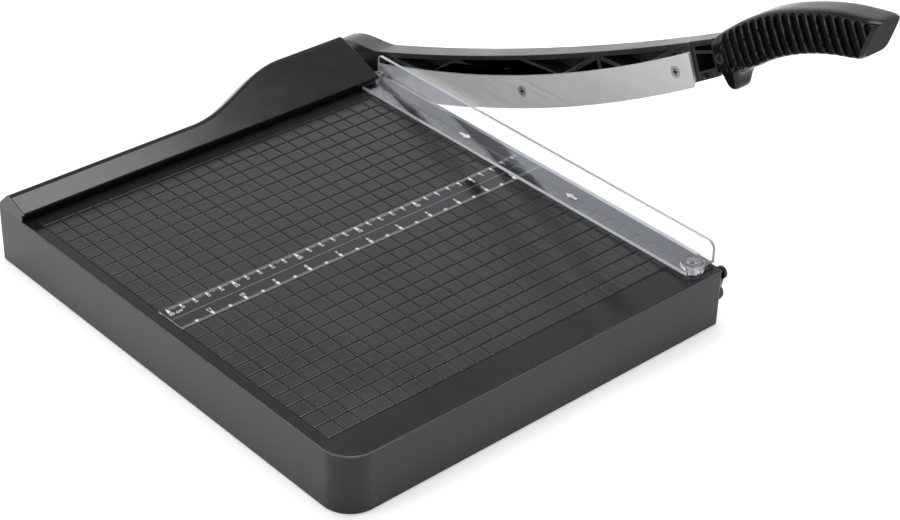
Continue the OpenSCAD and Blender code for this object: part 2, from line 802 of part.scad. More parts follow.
module pivot_washers() color([0.68, 0.68, 0.7]) {
  sleeve_x(washer_in_x, washer_in_x + washer_thick, bolt_r + run_fit, washer_r);
  sleeve_x(washer_out_x, washer_out_x + washer_thick, bolt_r + run_fit, washer_r);
}

module disc_spring() color([0.45, 0.45, 0.47])
  translate([disc_x, pivot_y, pivot_z]) rotate([0, 90, 0])
    rotate_extrude()
      polygon([
        [bolt_r + run_fit, disc_rise], [washer_r, 0],
        [washer_r, disc_thick], [bolt_r + run_fit, disc_rise + disc_thick]
      ]);

module pivot_lock_nut() color([0.62, 0.62, 0.64]) difference() {
  translate([washer_in_x - nut_height, pivot_y, pivot_z])
    rotate([0, 90, 0]) cylinder(h = nut_height, r = nut_r, $fn = 6);
  bar_x(washer_in_x - nut_height - over, washer_in_x + over, pivot_y, pivot_z, bolt_r + run_fit);
}

module clamp_guide_screws() color([0.62, 0.62, 0.64])
  for (place = [guide_front, guide_rear])
    translate([place[0], place[1], clamp_top_z + seat_fit])
      pan_screw(guide_r, guide_length, guide_head_r, guide_head_height);

// Middle of a coil spring's wire, and ring of points round it
function spring_centre(k) = let (a = 360 * k / spring_rings_per_turn)
  [spring_r * cos(a), spring_r * sin(a), spring_low_z + wire_r + seat_fit + spring_rise * k / spring_steps];
function spring_ring(k) = let (a = 360 * k / spring_rings_per_turn, c = spring_centre(k)) [
  for (j = [0:wire_sides - 1])
    let (b = 360 * j / wire_sides)
      c + [wire_r * cos(b) * cos(a), wire_r * cos(b) * sin(a), -wire_r * sin(b)]
];
spring_gap = min([
  for (i = [0:spring_steps], j = [0:spring_steps])
    if (j - i > spring_rings_per_turn / 2) norm(spring_centre(j) - spring_centre(i)) - 2 * wire_r
]);
echo(least_gap_between_spring_turns = spring_gap);

module coil_spring(place) color([0.7, 0.7, 0.72])
  translate([place[0], place[1], 0]) loft([for (k = [0:spring_steps]) spring_ring(k)]);

module clamp_spring_front() { coil_spring(guide_front); }
module clamp_spring_rear() { coil_spring(guide_rear); }

module latch_screw() color([0.3, 0.3, 0.31]) {
  head_in = latch_x + latch_thick + seat_fit;
  bar_x(latch_x - latch_screw_length + tip_air, head_in + over, latch_y, latch_z, latch_shoulder_r);
  translate([head_in, latch_y, latch_z]) rotate([0, 90, 0])
    intersection() {
      cylinder(h = latch_head_height, r = latch_hub_r - latch_notch_air);
      translate([0, 0, latch_head_height - latch_dome_r]) sphere(r = latch_dome_r);
    }
}

// Tail behind the hub, and the neck's slope, which runs from the tail's crest into the start of the beam
tail_back = 14;
tail_lead = 6;
tail_sink = 1.5;
crest_at = -10;
crest_lift = 0.1;
neck_steps = 12;
neck_sink = 0.15;
neck_lap = 10;
neck_end_at = crest_at + neck_length;
neck_level = arm_top(neck_end_at) - neck_sink;
hub_sink = 0.5;

// Height of the neck's slope at one step along it
function neck_slope(k) =
  neck_level + (tail_r + crest_lift - neck_level) * (1 + cos(180 * k / neck_steps)) / 2;

// Side of the arm: tail, hub, neck and beam
module arm_outline() {
  circle(r = hub_r);
  translate([-tail_back, 0]) circle(r = tail_r);
  polygon([[-tail_back, 0], [0, 0], [0, hub_sink - hub_r], [-tail_back, hub_sink - tail_r]]);
  polygon(concat(
    [[-tail_back - tail_lead, tail_r - tail_sink]],
    [for (k = [0:neck_steps]) [crest_at + neck_length * k / neck_steps, neck_slope(k)]],
    [[neck_end_at, edge_line(neck_end_at) + edge_reach + over], [0, hub_sink - hub_r]]
  ));
  intersection() {
    translate([neck_end_at - neck_lap, -2 * edge_drop])
      square([arm_length - neck_end_at + neck_lap, 4 * edge_drop]);
    arm_band(0, edge_reach);
  }
}

// Band between the arm's upper edge, lowered by some depth, and the cutting edge's arc, raised by another
module arm_band(lower, raise) {
  difference() {
    translate([edge_low_at, edge_radius - edge_drop + raise]) circle(r = edge_radius, $fn = arc_fn);
    translate([arm_top_at, arm_top_radius + arm_top_rise - lower])
      circle(r = arm_top_radius, $fn = 2 * arc_fn);
  }
}

// Open bays of the truss above the blade
module truss_bays() {
  bay_from = truss_start - bay_lead;
  bay_to = blade_front_at - bay_end;
  difference() {
    intersection() {
      translate([bay_from, -edge_drop]) square([bay_to - bay_from, 3 * edge_drop]);
      arm_band(flange_thick, blade_height - bay_under);
    }
    truss_ribs();
  }
}

// Zigzag ribs of the truss, with a post at each upper joint
module truss_ribs() {
  count = ceil((blade_front_at - truss_start) / truss_pitch);
  slant = atan2(2 * truss_drop, truss_pitch);
  for (k = [0:count]) {
    u = truss_start + k * truss_pitch;
    w = arm_top(u) - flange_thick;
    translate([u - truss_rib / 2, w - blade_height]) square([truss_rib, 2 * blade_height]);
    for (turn = [-slant, 180 + slant])
      translate([u, w])
        rotate(turn)
          translate([-truss_rib, -truss_rib / 2])
            square([truss_pitch / 2 / cos(slant) + truss_rib, truss_rib]);
  }
}

module arm_beam() color([0.14, 0.14, 0.15]) difference() {
  union() {
    on_arm(arm_out_x, arm_width) arm_outline();
    on_arm(tongue_x + tongue_width, tongue_width)
      translate([arm_length - over, arm_end_top - tongue_drop - tongue_half_height])
        square([tongue_length + over, 2 * tongue_half_height]);
  }
  on_arm(arm_out_x - web_thick, arm_width) truss_bays();
  on_arm(arm_in_x + latch_bay - blade_gap - blade_thick, arm_width)
    translate([latch_bay_at, -2 * edge_drop]) square([arm_length - latch_bay_at + over, 4 * edge_drop]);
  on_arm(arm_out_x - web_thick, arm_width) end_bays();
  on_arm(arm_out_x + over, arm_width + 2 * over) circle(r = bush_r);
  for (u = blade_screw_at)
    at_arm(u, edge_line(u) + blade_screw_rise, arm_in_x) head_left() translate([0, 0, -blade_screw_length])
      cylinder(h = blade_screw_length + over, r = blade_screw_r + pilot_fit);
  at_arm(latch_pin_at, latch_pin_rise, arm_in_x - over)
    head_right() cylinder(h = arm_width / 2, r = latch_pin_r);
  at_arm(arm_length + handle_screw_at, arm_end_top - tongue_drop, tongue_x - over) rotate([0, 90, 0])
    cylinder(h = tongue_width + 2 * over, r = handle_screw_r + pilot_fit);
}

// Framed bays at the arm's end, beside the latch
module end_bays() {
  from = latch_bay_at + end_frame;
  to = arm_length - end_frame;
  difference() {
    intersection() {
      translate([from, -edge_drop]) square([to - from, 3 * edge_drop]);
      arm_band(flange_thick, edge_reach + bay_end);
    }
    translate([from - over, arm_end_top - end_rib_drop - end_frame / 2])
      square([to - from + 2 * over, end_frame]);
  }
}

module blade() color([0.78, 0.78, 0.76]) difference() {
  on_arm(blade_x + blade_thick, blade_thick) intersection() {
    translate([blade_back_at, -2 * edge_drop]) square([blade_front_at - blade_back_at, 4 * edge_drop]);
    difference() {
      translate([edge_low_at, edge_radius - edge_drop]) circle(r = edge_radius, $fn = arc_fn);
      translate([blade_top_at, blade_top_radius - blade_top_drop]) circle(r = blade_top_radius, $fn = arc_fn);
    }
  }
  at_arm(edge_low_at, edge_radius - edge_drop, blade_x) rotate([0, 90, 0]) rotate_extrude($fn = arc_fn)
    polygon([
      [edge_radius - bevel_width, blade_thick + over / 2],
      [edge_radius - bevel_width, blade_thick],
      [edge_radius + over, edge_flat],
      [edge_radius + over, blade_thick + over / 2]
    ]);
  for (u = blade_screw_at)
    at_arm(u, edge_line(u) + blade_screw_rise, blade_x) head_left() sunk_hole(blade_screw_r, blade_thick);
}

module blade_screws() color([0.6, 0.6, 0.6])
  for (u = blade_screw_at)
    at_arm(u, edge_line(u) + blade_screw_rise, blade_x)
      head_left() sunk_screw(blade_screw_r, blade_screw_length);

module pivot_bush() color([0.72, 0.6, 0.35])
  sleeve_x(arm_in_x, arm_out_x, bolt_r + run_fit, bush_r);

// Place of a handle outline point in the arm's frame
function handle_point(p) = [arm_length + p[0], arm_end_top + p[1]];

// Sine or cosine on a circle drawn out towards a square
function squared(v) = sign(v) * pow(abs(v), 2 / handle_square);

// Sideways place of a handle point, drawn in towards the blade on the finger stop below the grip
function hook_side(x, drop) = let (f = max(0, min(1, (hook_from - drop) / (hook_from - hook_full))))
  x * (1 - f * (1 - hook_ratio)) + f * hook_shift;

// Ring of the handle between an upper and a lower outline point
function handle_ring(top, low, girth) = let (mid = (top + low) / 2, half = (top - low) / 2) [
  for (j = [0:handle_sides - 1])
    let (a = 360 * j / handle_sides, p = mid + half * squared(sin(a)))
      [hook_side(girth * handle_width / 2 * squared(cos(a)), p[1] - arm_end_top), -p[0], p[1]]
];

// Row of outline points with its corners cut once
function rounded_row(row) = concat(
  [row[0]],
  [for (i = [1:len(row) - 2]) each [row[i] * 0.75 + row[i - 1] * 0.25, row[i] * 0.75 + row[i + 1] * 0.25]],
  [row[len(row) - 1]]
);

// Flat side of the grip that the slots are cut in
module grip_field() {
  span = [for (i = [grip_first:grip_last]) i];
  upper = [for (i = span) let (t = handle_point(handle_upper[i]), b = handle_point(handle_lower[i]))
    t - (t - b) / norm(t - b) * grip_top_band];
  lower = [for (i = span) let (t = handle_point(handle_upper[i]), b = handle_point(handle_lower[i]))
    let (low = b + (t - b) / norm(t - b) * grip_low_band)
      [low[0], max(low[1], arm_end_top + grip_hook_top)]];
  polygon(concat(upper, [for (i = [len(lower) - 1:-1:0]) lower[i]]));
}

module grip_slots() {
  intersection() {
    grip_field();
    for (k = [0:slot_count - 1])
      translate([arm_length + slot_first + k * slot_pitch, arm_end_top])
        rotate(-slot_lean)
          translate([-slot_width / 2, -slot_reach])
            square([slot_width, 2 * slot_reach]);
  }
}

module handle() color([0.1, 0.1, 0.1]) difference() {
  translate([handle_mid_x, pivot_y, pivot_z]) rotate([-rest_angle, 0, 0])
    handle_body();
  on_arm(handle_x + slot_depth, slot_depth + over) grip_slots();
  on_arm(handle_x + handle_width + over, slot_depth + over) grip_slots();
  on_arm(tongue_x + tongue_width + seat_fit, tongue_width + 2 * seat_fit)
    translate([arm_length - over, arm_end_top - tongue_drop - tongue_half_height - seat_fit])
      square([tongue_length + over + seat_fit, 2 * (tongue_half_height + seat_fit)]);
  at_arm(arm_length + handle_screw_at, arm_end_top - tongue_drop, handle_x + handle_screw_sink) head_left() {
    translate([0, 0, -handle_screw_length])
      cylinder(h = handle_screw_length + over, r = handle_screw_r + pilot_fit);
    cylinder(h = handle_screw_sink + over, r = handle_screw_r * screw_head_ratio + seat_fit);
  }
}

module handle_body() {
  upper = rounded_row([for (p = handle_upper) handle_point(p)]);
  lower = rounded_row([for (p = handle_lower) handle_point(p)]);
  girth = rounded_row(handle_girth);
  loft([for (i = [0:len(upper) - 1]) handle_ring(upper[i], lower[i], girth[i])]);
}

module handle_screw() color([0.55, 0.55, 0.56])
  at_arm(arm_length + handle_screw_at, arm_end_top - tongue_drop, handle_x + handle_screw_sink) head_left()
    pan_screw(
      handle_screw_r, handle_screw_length - tip_air,
      handle_screw_r * screw_head_ratio, handle_screw_sink - seat_fit
    );

module latch_pin() color([0.6, 0.6, 0.62]) {
  from = latch_x + body_air;
  to = arm_in_x - over + arm_width / 2 - seat_fit;
  at_arm(latch_pin_at, latch_pin_rise, from)
    head_right() cylinder(h = to - from, r = latch_pin_r - pilot_fit);
}

// Side of the clear guard, seen along X
module guard_side() {
  low = clamp_under_z;
  high = bed_height + guard_height;
  difference() {
    translate([clamp_front_y, low]) square([guard_back_y - clamp_front_y, high - low]);
    corner_cut(clamp_front_y, high, guard_corner_r, 1);
    corner_cut(guard_back_y, high, guard_back_r, -1);
  }
}

// What a rounded upper corner takes away
module corner_cut(y, z, r, s) {
  difference() {
    translate([y + s * r / 2 - r / 2 - (s > 0 ? over : 0), z - r]) square([r + over, r + over]);
    translate([y + s * r, z - r]) circle(r = r);
  }
}

module paper_clamp() color([0.8, 0.85, 0.92, 0.4]) difference() {
  union() {
    translate([clamp_left_x, clamp_front_y, clamp_under_z])
      cube([clamp_width, clamp_back_y - clamp_front_y, clamp_thick]);
    translate([tongue_left_x, clamp_back_y - over, clamp_under_z])
      cube([clamp_right_x - tongue_left_x, guard_back_y - clamp_back_y + over, clamp_thick]);
    on_side(clamp_right_x - clamp_thick, clamp_thick) guard_side();
    translate([guide_front[0], guide_front[1], clamp_under_z])
      cylinder(h = clamp_thick + guide_boss_height, r = guide_boss_r);
    translate([guide_rear[0], guide_rear[1], clamp_under_z]) cylinder(h = clamp_thick, r = guide_rear_r);
  }
  for (place = [guide_front, guide_rear]) {
    translate([place[0], place[1], clamp_under_z - over]) cylinder(h = guard_height, r = guide_hole_r);
    translate([place[0], place[1], clamp_top_z]) cylinder(h = guard_height, r = guide_head_r + body_air);
  }
}

// Latch lever, upright, about its screw
module latch_side() {
  notch = latch_pin_r + latch_notch_air;
  difference() {
    union() {
      circle(r = latch_hub_r);
      translate([-latch_neck / 2, 0]) square([latch_neck, latch_length]);
      translate([0, latch_length]) circle(r = latch_head_r);
    }
    circle(r = latch_shoulder_r + seat_fit);
    intersection() {
      difference() {
        circle(r = latch_pin_reach + notch);
        circle(r = latch_pin_reach - notch);
      }
      translate([-latch_pin_r / 2, 0]) square([latch_neck + latch_length, 2 * latch_length]);
    }
  }
}

module safety_latch() color([0.2, 0.2, 0.21])
  on_side(latch_x, latch_thick) translate([latch_y, latch_z]) rotate(latch_lean) latch_side();

base_shell();
bottom_cover();
bottom_cover_screws();
rubber_foot(0);  // rubber_foot_front_left
rubber_foot(1);  // rubber_foot_front_right
rubber_foot(2);  // rubber_foot_rear_left
rubber_foot(3);  // rubber_foot_rear_right
fence_cover();
fence_end_cap();
fence_cover_screws();
ruler_strip();
counter_blade();
counter_blade_screws();
pivot_bracket();
pivot_bracket_screws();
pivot_bolt();
pivot_spacer();
pivot_washers();
disc_spring();
pivot_lock_nut();
clamp_guide_screws();
clamp_spring_front();
clamp_spring_rear();
latch_screw();
arm_beam();
blade();
blade_screws();
pivot_bush();
handle();
handle_screw();
latch_pin();
paper_clamp();
safety_latch();
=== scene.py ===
import math
import bmesh
import bpy
from mathutils import Matrix, Vector


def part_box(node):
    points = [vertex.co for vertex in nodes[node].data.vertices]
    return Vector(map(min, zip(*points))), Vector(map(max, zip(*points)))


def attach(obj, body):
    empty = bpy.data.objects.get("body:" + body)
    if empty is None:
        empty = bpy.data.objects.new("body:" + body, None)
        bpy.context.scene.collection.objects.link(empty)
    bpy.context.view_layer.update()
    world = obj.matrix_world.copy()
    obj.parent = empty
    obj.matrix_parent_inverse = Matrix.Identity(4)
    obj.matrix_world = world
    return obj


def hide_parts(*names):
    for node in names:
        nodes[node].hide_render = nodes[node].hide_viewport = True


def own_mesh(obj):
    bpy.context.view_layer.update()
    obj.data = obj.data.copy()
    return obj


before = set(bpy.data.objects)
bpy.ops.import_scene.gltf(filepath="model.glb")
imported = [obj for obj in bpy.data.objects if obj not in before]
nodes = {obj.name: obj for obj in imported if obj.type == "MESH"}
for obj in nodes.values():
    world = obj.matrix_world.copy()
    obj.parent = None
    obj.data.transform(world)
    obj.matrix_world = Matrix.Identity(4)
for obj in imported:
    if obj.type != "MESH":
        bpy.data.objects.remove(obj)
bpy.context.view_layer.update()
scene = bpy.context.scene
scene.view_settings.view_transform = "Standard"

# Sizes in millimetres and degrees, in the part's own frame
MM = 0.001
CUT_X = 156.65
LEFT_X = -156.65
FRONT_Y = -180.0
BACK_Y = 180.0
BED_Z = 42.0
CORNER_R = 20.0
RIM_R = 1.2
RIM_STEPS = 4
RIM_REACH = 1.0
LEVEL_GAP = 0.01

# Least part of a face's normal that counts as facing one way, or as leaning that way
FACING = 0.9
LEANING = 0.3

# Ruled bed
GRID_LEFT_X = LEFT_X + 8.5
GRID_FRONT_Y = FRONT_Y + 25.5
PITCH = 12.7
GRID_COLUMNS = 23
GRID_ROWS = 24
RULER_ROW = 11
RULER_ROWS = 2
GROOVE_ROW = 1.0
GROOVE_COLUMN = 0.6
GROOVE_DEPTH = 0.45
FIELD_TOP = 2.0

# One square of the bed: its lines as shares of its half width, and how far they lie below its top
SQUARE_LINES = [-1.0, -0.965, -0.88, -0.45, 0.0, 0.45, 0.88, 0.965, 1.0]
SQUARE_DISHED = 0.88
SQUARE_SHOULDER = 0.9
SQUARE_RIM = 0.99
SHOULDER_DROP = 0.04
RIM_DROP = 0.16
DISH = 0.11
SKIRT = GROOVE_DEPTH + 0.02

# Ruler
RULER_FRONT_Y = GRID_FRONT_Y + RULER_ROW * PITCH
RULER_BACK_Y = RULER_FRONT_Y + RULER_ROWS * PITCH
RULER_RIGHT_X = CUT_X - 2.7
INCH = 25.4
PRINT_Z = BED_Z + 0.03
PRINT_MARGIN = 0.4

# Ruler print: widths and lengths of marks, heights of numerals and their distance from the edge
MM_TICK = (0.17, 2.9)
HALF_CM_TICK = (0.20, 3.5)
CM_ARROW = (2.0, 3.7)
FIVE_CM_ARROW = (2.7, 5.0)
SIXTEENTH_TICK = (0.26, 2.7)
HALF_INCH_ARROW = (2.4, 3.3)
INCH_ARROW = (2.7, 4.9)
LARGE_NUMERAL = 4.0
SMALL_NUMERAL = 2.6
LARGE_DROP = 7.2
SMALL_DROP = 5.4
NUMERAL_WEIGHT = 0.012
LAST_CM = 30
LAST_CM_SHIFT = 3.0
LAST_INCH = 11
NO_GAPS = 100000
MIDDLE_LINE_HALF = 0.07
# A light line across the strip's left end is a painted highlight of that end's edge
END_HIGHLIGHT_HALF = 0.09
END_HIGHLIGHT_IN = 0.5

# Fence and hood
FENCE_Y = BACK_Y - 33.5
HOOD_RIGHT_X = CUT_X - 12.65
SWEEP_START_X = -8.0
SWEEP_LENGTH = 95.0
SWEEP_STEPS = 44
HOOD_BULGE = 25.5
RIDGE_SETBACK = 16.5
RIDGE_FALL = 14.0
FENCE_SLOPE = 0.355
LIP_TOP = 8.5
LIP_LOW = 6.5
LIP_FOOT = 4.0
LIP_STEP_IN = 3.0
LIP_STEP_UP = 5.5
RIDGE_LEAD = 2.5
CREST_PAST = 1.2
CREST_FALL = 0.3
BACK_CURVE = ((0.3, 0.2), (0.65, 0.6), (1.0, 1.0))
COVER_RADII = (0, 0, 0.8, 0.7, 0.9, 2.5, 3.0, 6.0, 7.0, 3.0)
CORNER_SHARE = 0.48
CORNER_STEPS = 6
COVER_CREASE = 40.0
END_CAP = 2.5
END_CAP_GAP = 0.1
END_ROUND = 0.6
END_ROUND_STEPS = 4

# Arm, in its own frame: u from the pivot towards the handle, w up
PIVOT_Y = BACK_Y + 10.5
PIVOT_Z = 36.0
REST_ANGLE = math.radians(22.0)
ARM_LENGTH = 372.0
ARM_END_TOP = 18.83
ARM_ROUND = 0.5
ARM_SKIN = 0.3
BLADE_ACROSS = 0.2
BLADE_END_BAND = 0.3
BLADE_CORNER = 2.2
BLADE_CREASE = 25.0
SCREW_ROUND = 0.12
RECESS_START = 0.2
LATCH_ROUND = 0.4

# Clear guard, with frosted edges and two printed arrows on its foot
FOOT_TOP_Z = BED_Z + 4.0
GUARD_ROUND = 0.35
FROSTED_BAND = 0.5
FROSTED_FRONT = 12.0
FOOT_ARROW = [(0, 0), (2.9, 5.0), (1.1, 5.0), (1.1, 10.5), (-1.1, 10.5), (-1.1, 5.0), (-2.9, 5.0)]
FOOT_ARROW_X = 139.5
FOOT_ARROW_TIPS = ((42.5, 1), (-52.5, -1))
FOOT_PRINT_Z = FOOT_TOP_Z + 0.04

# Grip: outline points from the arm's end and its top, with the grip's girth at each
GRIP_UPPER = [
    (0.1, 0.4), (5, 3.1), (9.3, 4.8), (18.5, 8.2), (24, 10.2), (29, 11.7), (36.2, 13.6), (44.6, 15.7),
    (54, 16.9), (65, 17.6), (77, 17.6), (89, 17.1), (103, 15.7), (117, 12.7), (129.5, 9.7), (132.5, 8.2),
]
GRIP_LOWER = [
    (0.1, -24.4), (3.6, -24.8), (5.5, -34), (12.5, -33), (14, -23.5), (20.5, -20.6), (30.7, -18.6),
    (41.4, -15), (52, -12.6), (63, -11), (75, -10.2), (86, -10.3), (97, -11.2), (106, -12.6),
    (113.6, -13.6), (116.5, -12),
]
GRIP_GIRTH = [0.86, 0.9, 0.92, 0.96, 1, 1, 1, 1, 1, 1, 1, 1, 1, 1, 0.98, 0.84]
GRIP_MID_X = 169.9
GRIP_WIDTH = 25.5
GRIP_SQUARE = 5.0
GRIP_SIDES = 176
GRIP_ROUNDING = 3
GRIP_FRONT_RINGS = 70
GRIP_END_RINGS = 90
GRIP_CREASE = 50.0
HOOK_END_X = 20.5
HOOK_FROM = -18.0
HOOK_FULL = -29.0
HOOK_RATIO = 0.72
HOOK_SHIFT = -2.2
SLOT_LEAN = math.radians(-7.0)
SLOT_FIRST = 12.1
SLOT_PITCH = 6.7
SLOT_WIDTH = 5.1
SLOT_DEPTH = 2.6
SLOT_COUNT = 18
STRAIGHT_SLOTS = 15
SLOT_TOP_BAND = 1.6
SLOT_LOW_BAND = 0.8
SLOT_END_BAND = 2.2
SLOT_HOOK_TOP = -19.0
SLOT_EDGE = 0.4
SLOT_FADE = 0.9
SLOT_END_FADE = 0.8
SLOT_PAINT_FROM = 0.3
SLOT_PAINT_PAST = 0.4
SLOT_PAINT_MASK = 0.2
GRIP_END_NORMAL = Vector((0.0, -0.954, -0.300))
GRIP_END_X = 113.6
GRIP_END_FACING = 0.99

# Camera at the photograph's viewing angle
CAMERA_AZIMUTH = math.radians(-42.86)
CAMERA_ELEVATION = math.radians(32.98)
CAMERA_ROLL = math.radians(1.84)
CAMERA_TARGET = Vector((28.84, -59.94, 42.0))
CAMERA_DISTANCE = 1369.89
CAMERA_SENSOR = 36.0
CAMERA_LENS = 85.71
CAMERA_REACH = 50.0

# Floor, fill light, and what glossy surfaces mirror: sine of the height and brightness there
FLOOR_HALF = 8.0
FLOOR_DROP = 0.3
FLOOR_TONE = 0.82
FLOOR_GLOW = 0.5
FILL_LEVEL = 0.45
MIRRORED_LEVELS = ((0.46, 1.0), (0.60, 0.55), (0.72, 0.25), (0.84, 0.20), (0.90, 0.85))
MIRRORED_TINT = (0.93, 0.97, 1.03)
WHITE = (1.0, 1.0, 1.0)


def place_camera():
    level = math.cos(CAMERA_ELEVATION)
    back = Vector((
        math.sin(CAMERA_AZIMUTH) * level, -math.cos(CAMERA_AZIMUTH) * level, math.sin(CAMERA_ELEVATION),
    ))
    right = Vector((math.cos(CAMERA_AZIMUTH), math.sin(CAMERA_AZIMUTH), 0.0))
    up = back.cross(right)
    turned_right = right * math.cos(CAMERA_ROLL) + up * math.sin(CAMERA_ROLL)
    turned_up = up * math.cos(CAMERA_ROLL) - right * math.sin(CAMERA_ROLL)
    matrix = Matrix((turned_right, turned_up, back)).transposed().to_4x4()
    matrix.translation = (CAMERA_TARGET + back * CAMERA_DISTANCE) * MM
    lens = bpy.data.cameras.new("photo_camera")
    lens.sensor_fit = "HORIZONTAL"
    lens.sensor_width = CAMERA_SENSOR
    lens.lens = CAMERA_LENS
    lens.clip_end = CAMERA_REACH
    camera = bpy.data.objects.new("photo_camera", lens)
    camera.matrix_world = matrix
    scene.collection.objects.link(camera)
    scene.camera = camera


place_camera()


# Node helpers for finishes
def math_node(tree, operation, first, second=None, clamp=False):
    node = tree.nodes.new("ShaderNodeMath")
    node.operation = operation
    node.use_clamp = clamp
    for socket, value in zip(node.inputs, (first, second)):
        if isinstance(value, (int, float)):
            socket.default_value = value
        elif value is not None:
            tree.links.new(value, socket)
    return node.outputs[0]


def noise(tree, vector, scale, detail, rough=0.5):
    node = tree.nodes.new("ShaderNodeTexNoise")
    node.inputs["Detail"].default_value = detail
    node.inputs["Roughness"].default_value = rough
    tree.links.new(vector, node.inputs["Vector"])
    tree.links.new(scale, node.inputs["Scale"])
    return node.outputs["Fac"]


def spread(tree, value, low, high, to_low=0.0, to_high=1.0):
    node = tree.nodes.new("ShaderNodeMapRange")
    for label, number in (("From Min", low), ("From Max", high), ("To Min", to_low), ("To Max", to_high)):
        node.inputs[label].default_value = number
    tree.links.new(value, node.inputs["Value"])
    return node.outputs["Result"]


def blend_colours(tree, factor, first, second):
    node = tree.nodes.new("ShaderNodeMix")
    node.data_type = "RGBA"
    tree.links.new(factor, node.inputs["Factor"])
    for socket, value in ((node.inputs[6], first), (node.inputs[7], second)):
        if isinstance(value, tuple):
            socket.default_value = (*value, 1.0)
        else:
            tree.links.new(value, socket)
    return node.outputs[2]


def bump_from(tree, shader, height, depth):
    bump = tree.nodes.new("ShaderNodeBump")
    bump.inputs["Distance"].default_value = depth
    tree.links.new(height, bump.inputs["Height"])
    tree.links.new(bump.outputs["Normal"], shader.inputs["Normal"])


# Shader node groups that several finishes share
def open_group(name, inputs, outputs):
    tree = bpy.data.node_groups.new(name, "ShaderNodeTree")
    for label, kind, value in inputs:
        socket = tree.interface.new_socket(label, in_out="INPUT", socket_type=kind)
        if value is not None:
            socket.default_value = value
    for label, kind in outputs:
        tree.interface.new_socket(label, in_out="OUTPUT", socket_type=kind)
    return tree, tree.nodes.new("NodeGroupInput"), tree.nodes.new("NodeGroupOutput")


# Fine grain for bump, and broad clouds for tone and gloss
def make_moulded_grain():
    tree, inside, outside = open_group(
        "moulded_grain",
        [("Grain Scale", "NodeSocketFloat", 1500.0), ("Cloud Scale", "NodeSocketFloat", 22.0)],
        [("Height", "NodeSocketFloat"), ("Clouds", "NodeSocketFloat")],
    )
    place = tree.nodes.new("ShaderNodeTexCoord").outputs["Object"]
    fine = noise(tree, place, inside.outputs["Grain Scale"], detail=2.0)
    broad = noise(tree, place, inside.outputs["Cloud Scale"], detail=4.0, rough=0.6)
    tree.links.new(fine, outside.inputs["Height"])
    tree.links.new(spread(tree, broad, 0.35, 0.65), outside.inputs["Clouds"])
    return tree


# Raised edges, broken up into patches: the mask for a painted highlight along edges, partly rubbed wear
def make_rubbed_edges():
    tree, inside, outside = open_group(
        "worn_and_highlighted_edges",
        [
            ("Start", "NodeSocketFloat", 0.52), ("Gain", "NodeSocketFloat", 14.0),
            ("Break Scale", "NodeSocketFloat", 260.0),
        ],
        [("Mask", "NodeSocketFloat")],
    )
    bend = tree.nodes.new("ShaderNodeNewGeometry").outputs["Pointiness"]
    place = tree.nodes.new("ShaderNodeTexCoord").outputs["Object"]
    raised = math_node(tree, "SUBTRACT", bend, inside.outputs["Start"])
    raised = math_node(tree, "MULTIPLY", raised, inside.outputs["Gain"], clamp=True)
    patches = spread(tree, noise(tree, place, inside.outputs["Break Scale"], detail=3.0), 0.35, 0.6)
    tree.links.new(math_node(tree, "MULTIPLY", raised, patches), outside.inputs["Mask"])
    return tree


# Slanting faces between upright walls and level tops: the mask for a painted highlight along a rounded rim
def make_rim_band():
    tree, inside, outside = open_group(
        "rim_highlight_band", [("Break Scale", "NodeSocketFloat", 120.0)], [("Mask", "NodeSocketFloat")],
    )
    split = tree.nodes.new("ShaderNodeSeparateXYZ")
    tree.links.new(tree.nodes.new("ShaderNodeNewGeometry").outputs["Normal"], split.inputs[0])
    rising = spread(tree, split.outputs["Z"], 0.15, 0.5)
    level = spread(tree, split.outputs["Z"], 0.85, 0.99, 1.0, 0.0)
    place = tree.nodes.new("ShaderNodeTexCoord").outputs["Object"]
    broken = noise(tree, place, inside.outputs["Break Scale"], detail=3.0)
    patches = spread(tree, broken, 0.3, 0.7, 0.6, 1.0)
    band = math_node(tree, "MULTIPLY", rising, level)
    tree.links.new(math_node(tree, "MULTIPLY", band, patches), outside.inputs["Mask"])
    return tree


# Fine lines along the given vector, and broad stains
def make_brushed_lines():
    tree, inside, outside = open_group(
        "brushed_lines",
        [
            ("Vector", "NodeSocketVector", None), ("Line Scale", "NodeSocketFloat", 900.0),
            ("Stain Scale", "NodeSocketFloat", 35.0),
        ],
        [("Lines", "NodeSocketFloat"), ("Stains", "NodeSocketFloat")],
    )
    fine = noise(tree, inside.outputs["Vector"], inside.outputs["Line Scale"], detail=4.0, rough=0.7)
    place = tree.nodes.new("ShaderNodeTexCoord").outputs["Object"]
    stains = noise(tree, place, inside.outputs["Stain Scale"], detail=3.0)
    tree.links.new(spread(tree, fine, 0.3, 0.7), outside.inputs["Lines"])
    tree.links.new(spread(tree, stains, 0.35, 0.65), outside.inputs["Stains"])
    return tree


MOULDED_GRAIN = make_moulded_grain()
EDGE_WEAR_AND_HIGHLIGHT = make_rubbed_edges()
RIM_HIGHLIGHT_BAND = make_rim_band()
BRUSHED_LINES = make_brushed_lines()


# Constants of the metal and clear finishes
BRUSH_DEPTH = 4e-6
CLEAR_PALE = (0.95, 0.97, 1.0)
CLEAR_SHADE = (0.9, 0.92, 0.95)
CLEAR_INDEX = 1.49
ALONG_ARM = (-REST_ANGLE, 0.0, 0.0)
UNTURNED = (0.0, 0.0, 0.0)
EVEN = (1.0, 1.0, 1.0)
ALONG_Y = (1.0, 0.02, 1.0)


def place_group(tree, group, **values):
    node = tree.nodes.new("ShaderNodeGroup")
    node.node_tree = group
    for label, value in values.items():
        node.inputs[label.replace("_", " ")].default_value = value
    return node


def start_material(name):
    material = bpy.data.materials.new(name)
    material.use_nodes = True
    return material, material.node_tree, material.node_tree.nodes["Principled BSDF"]
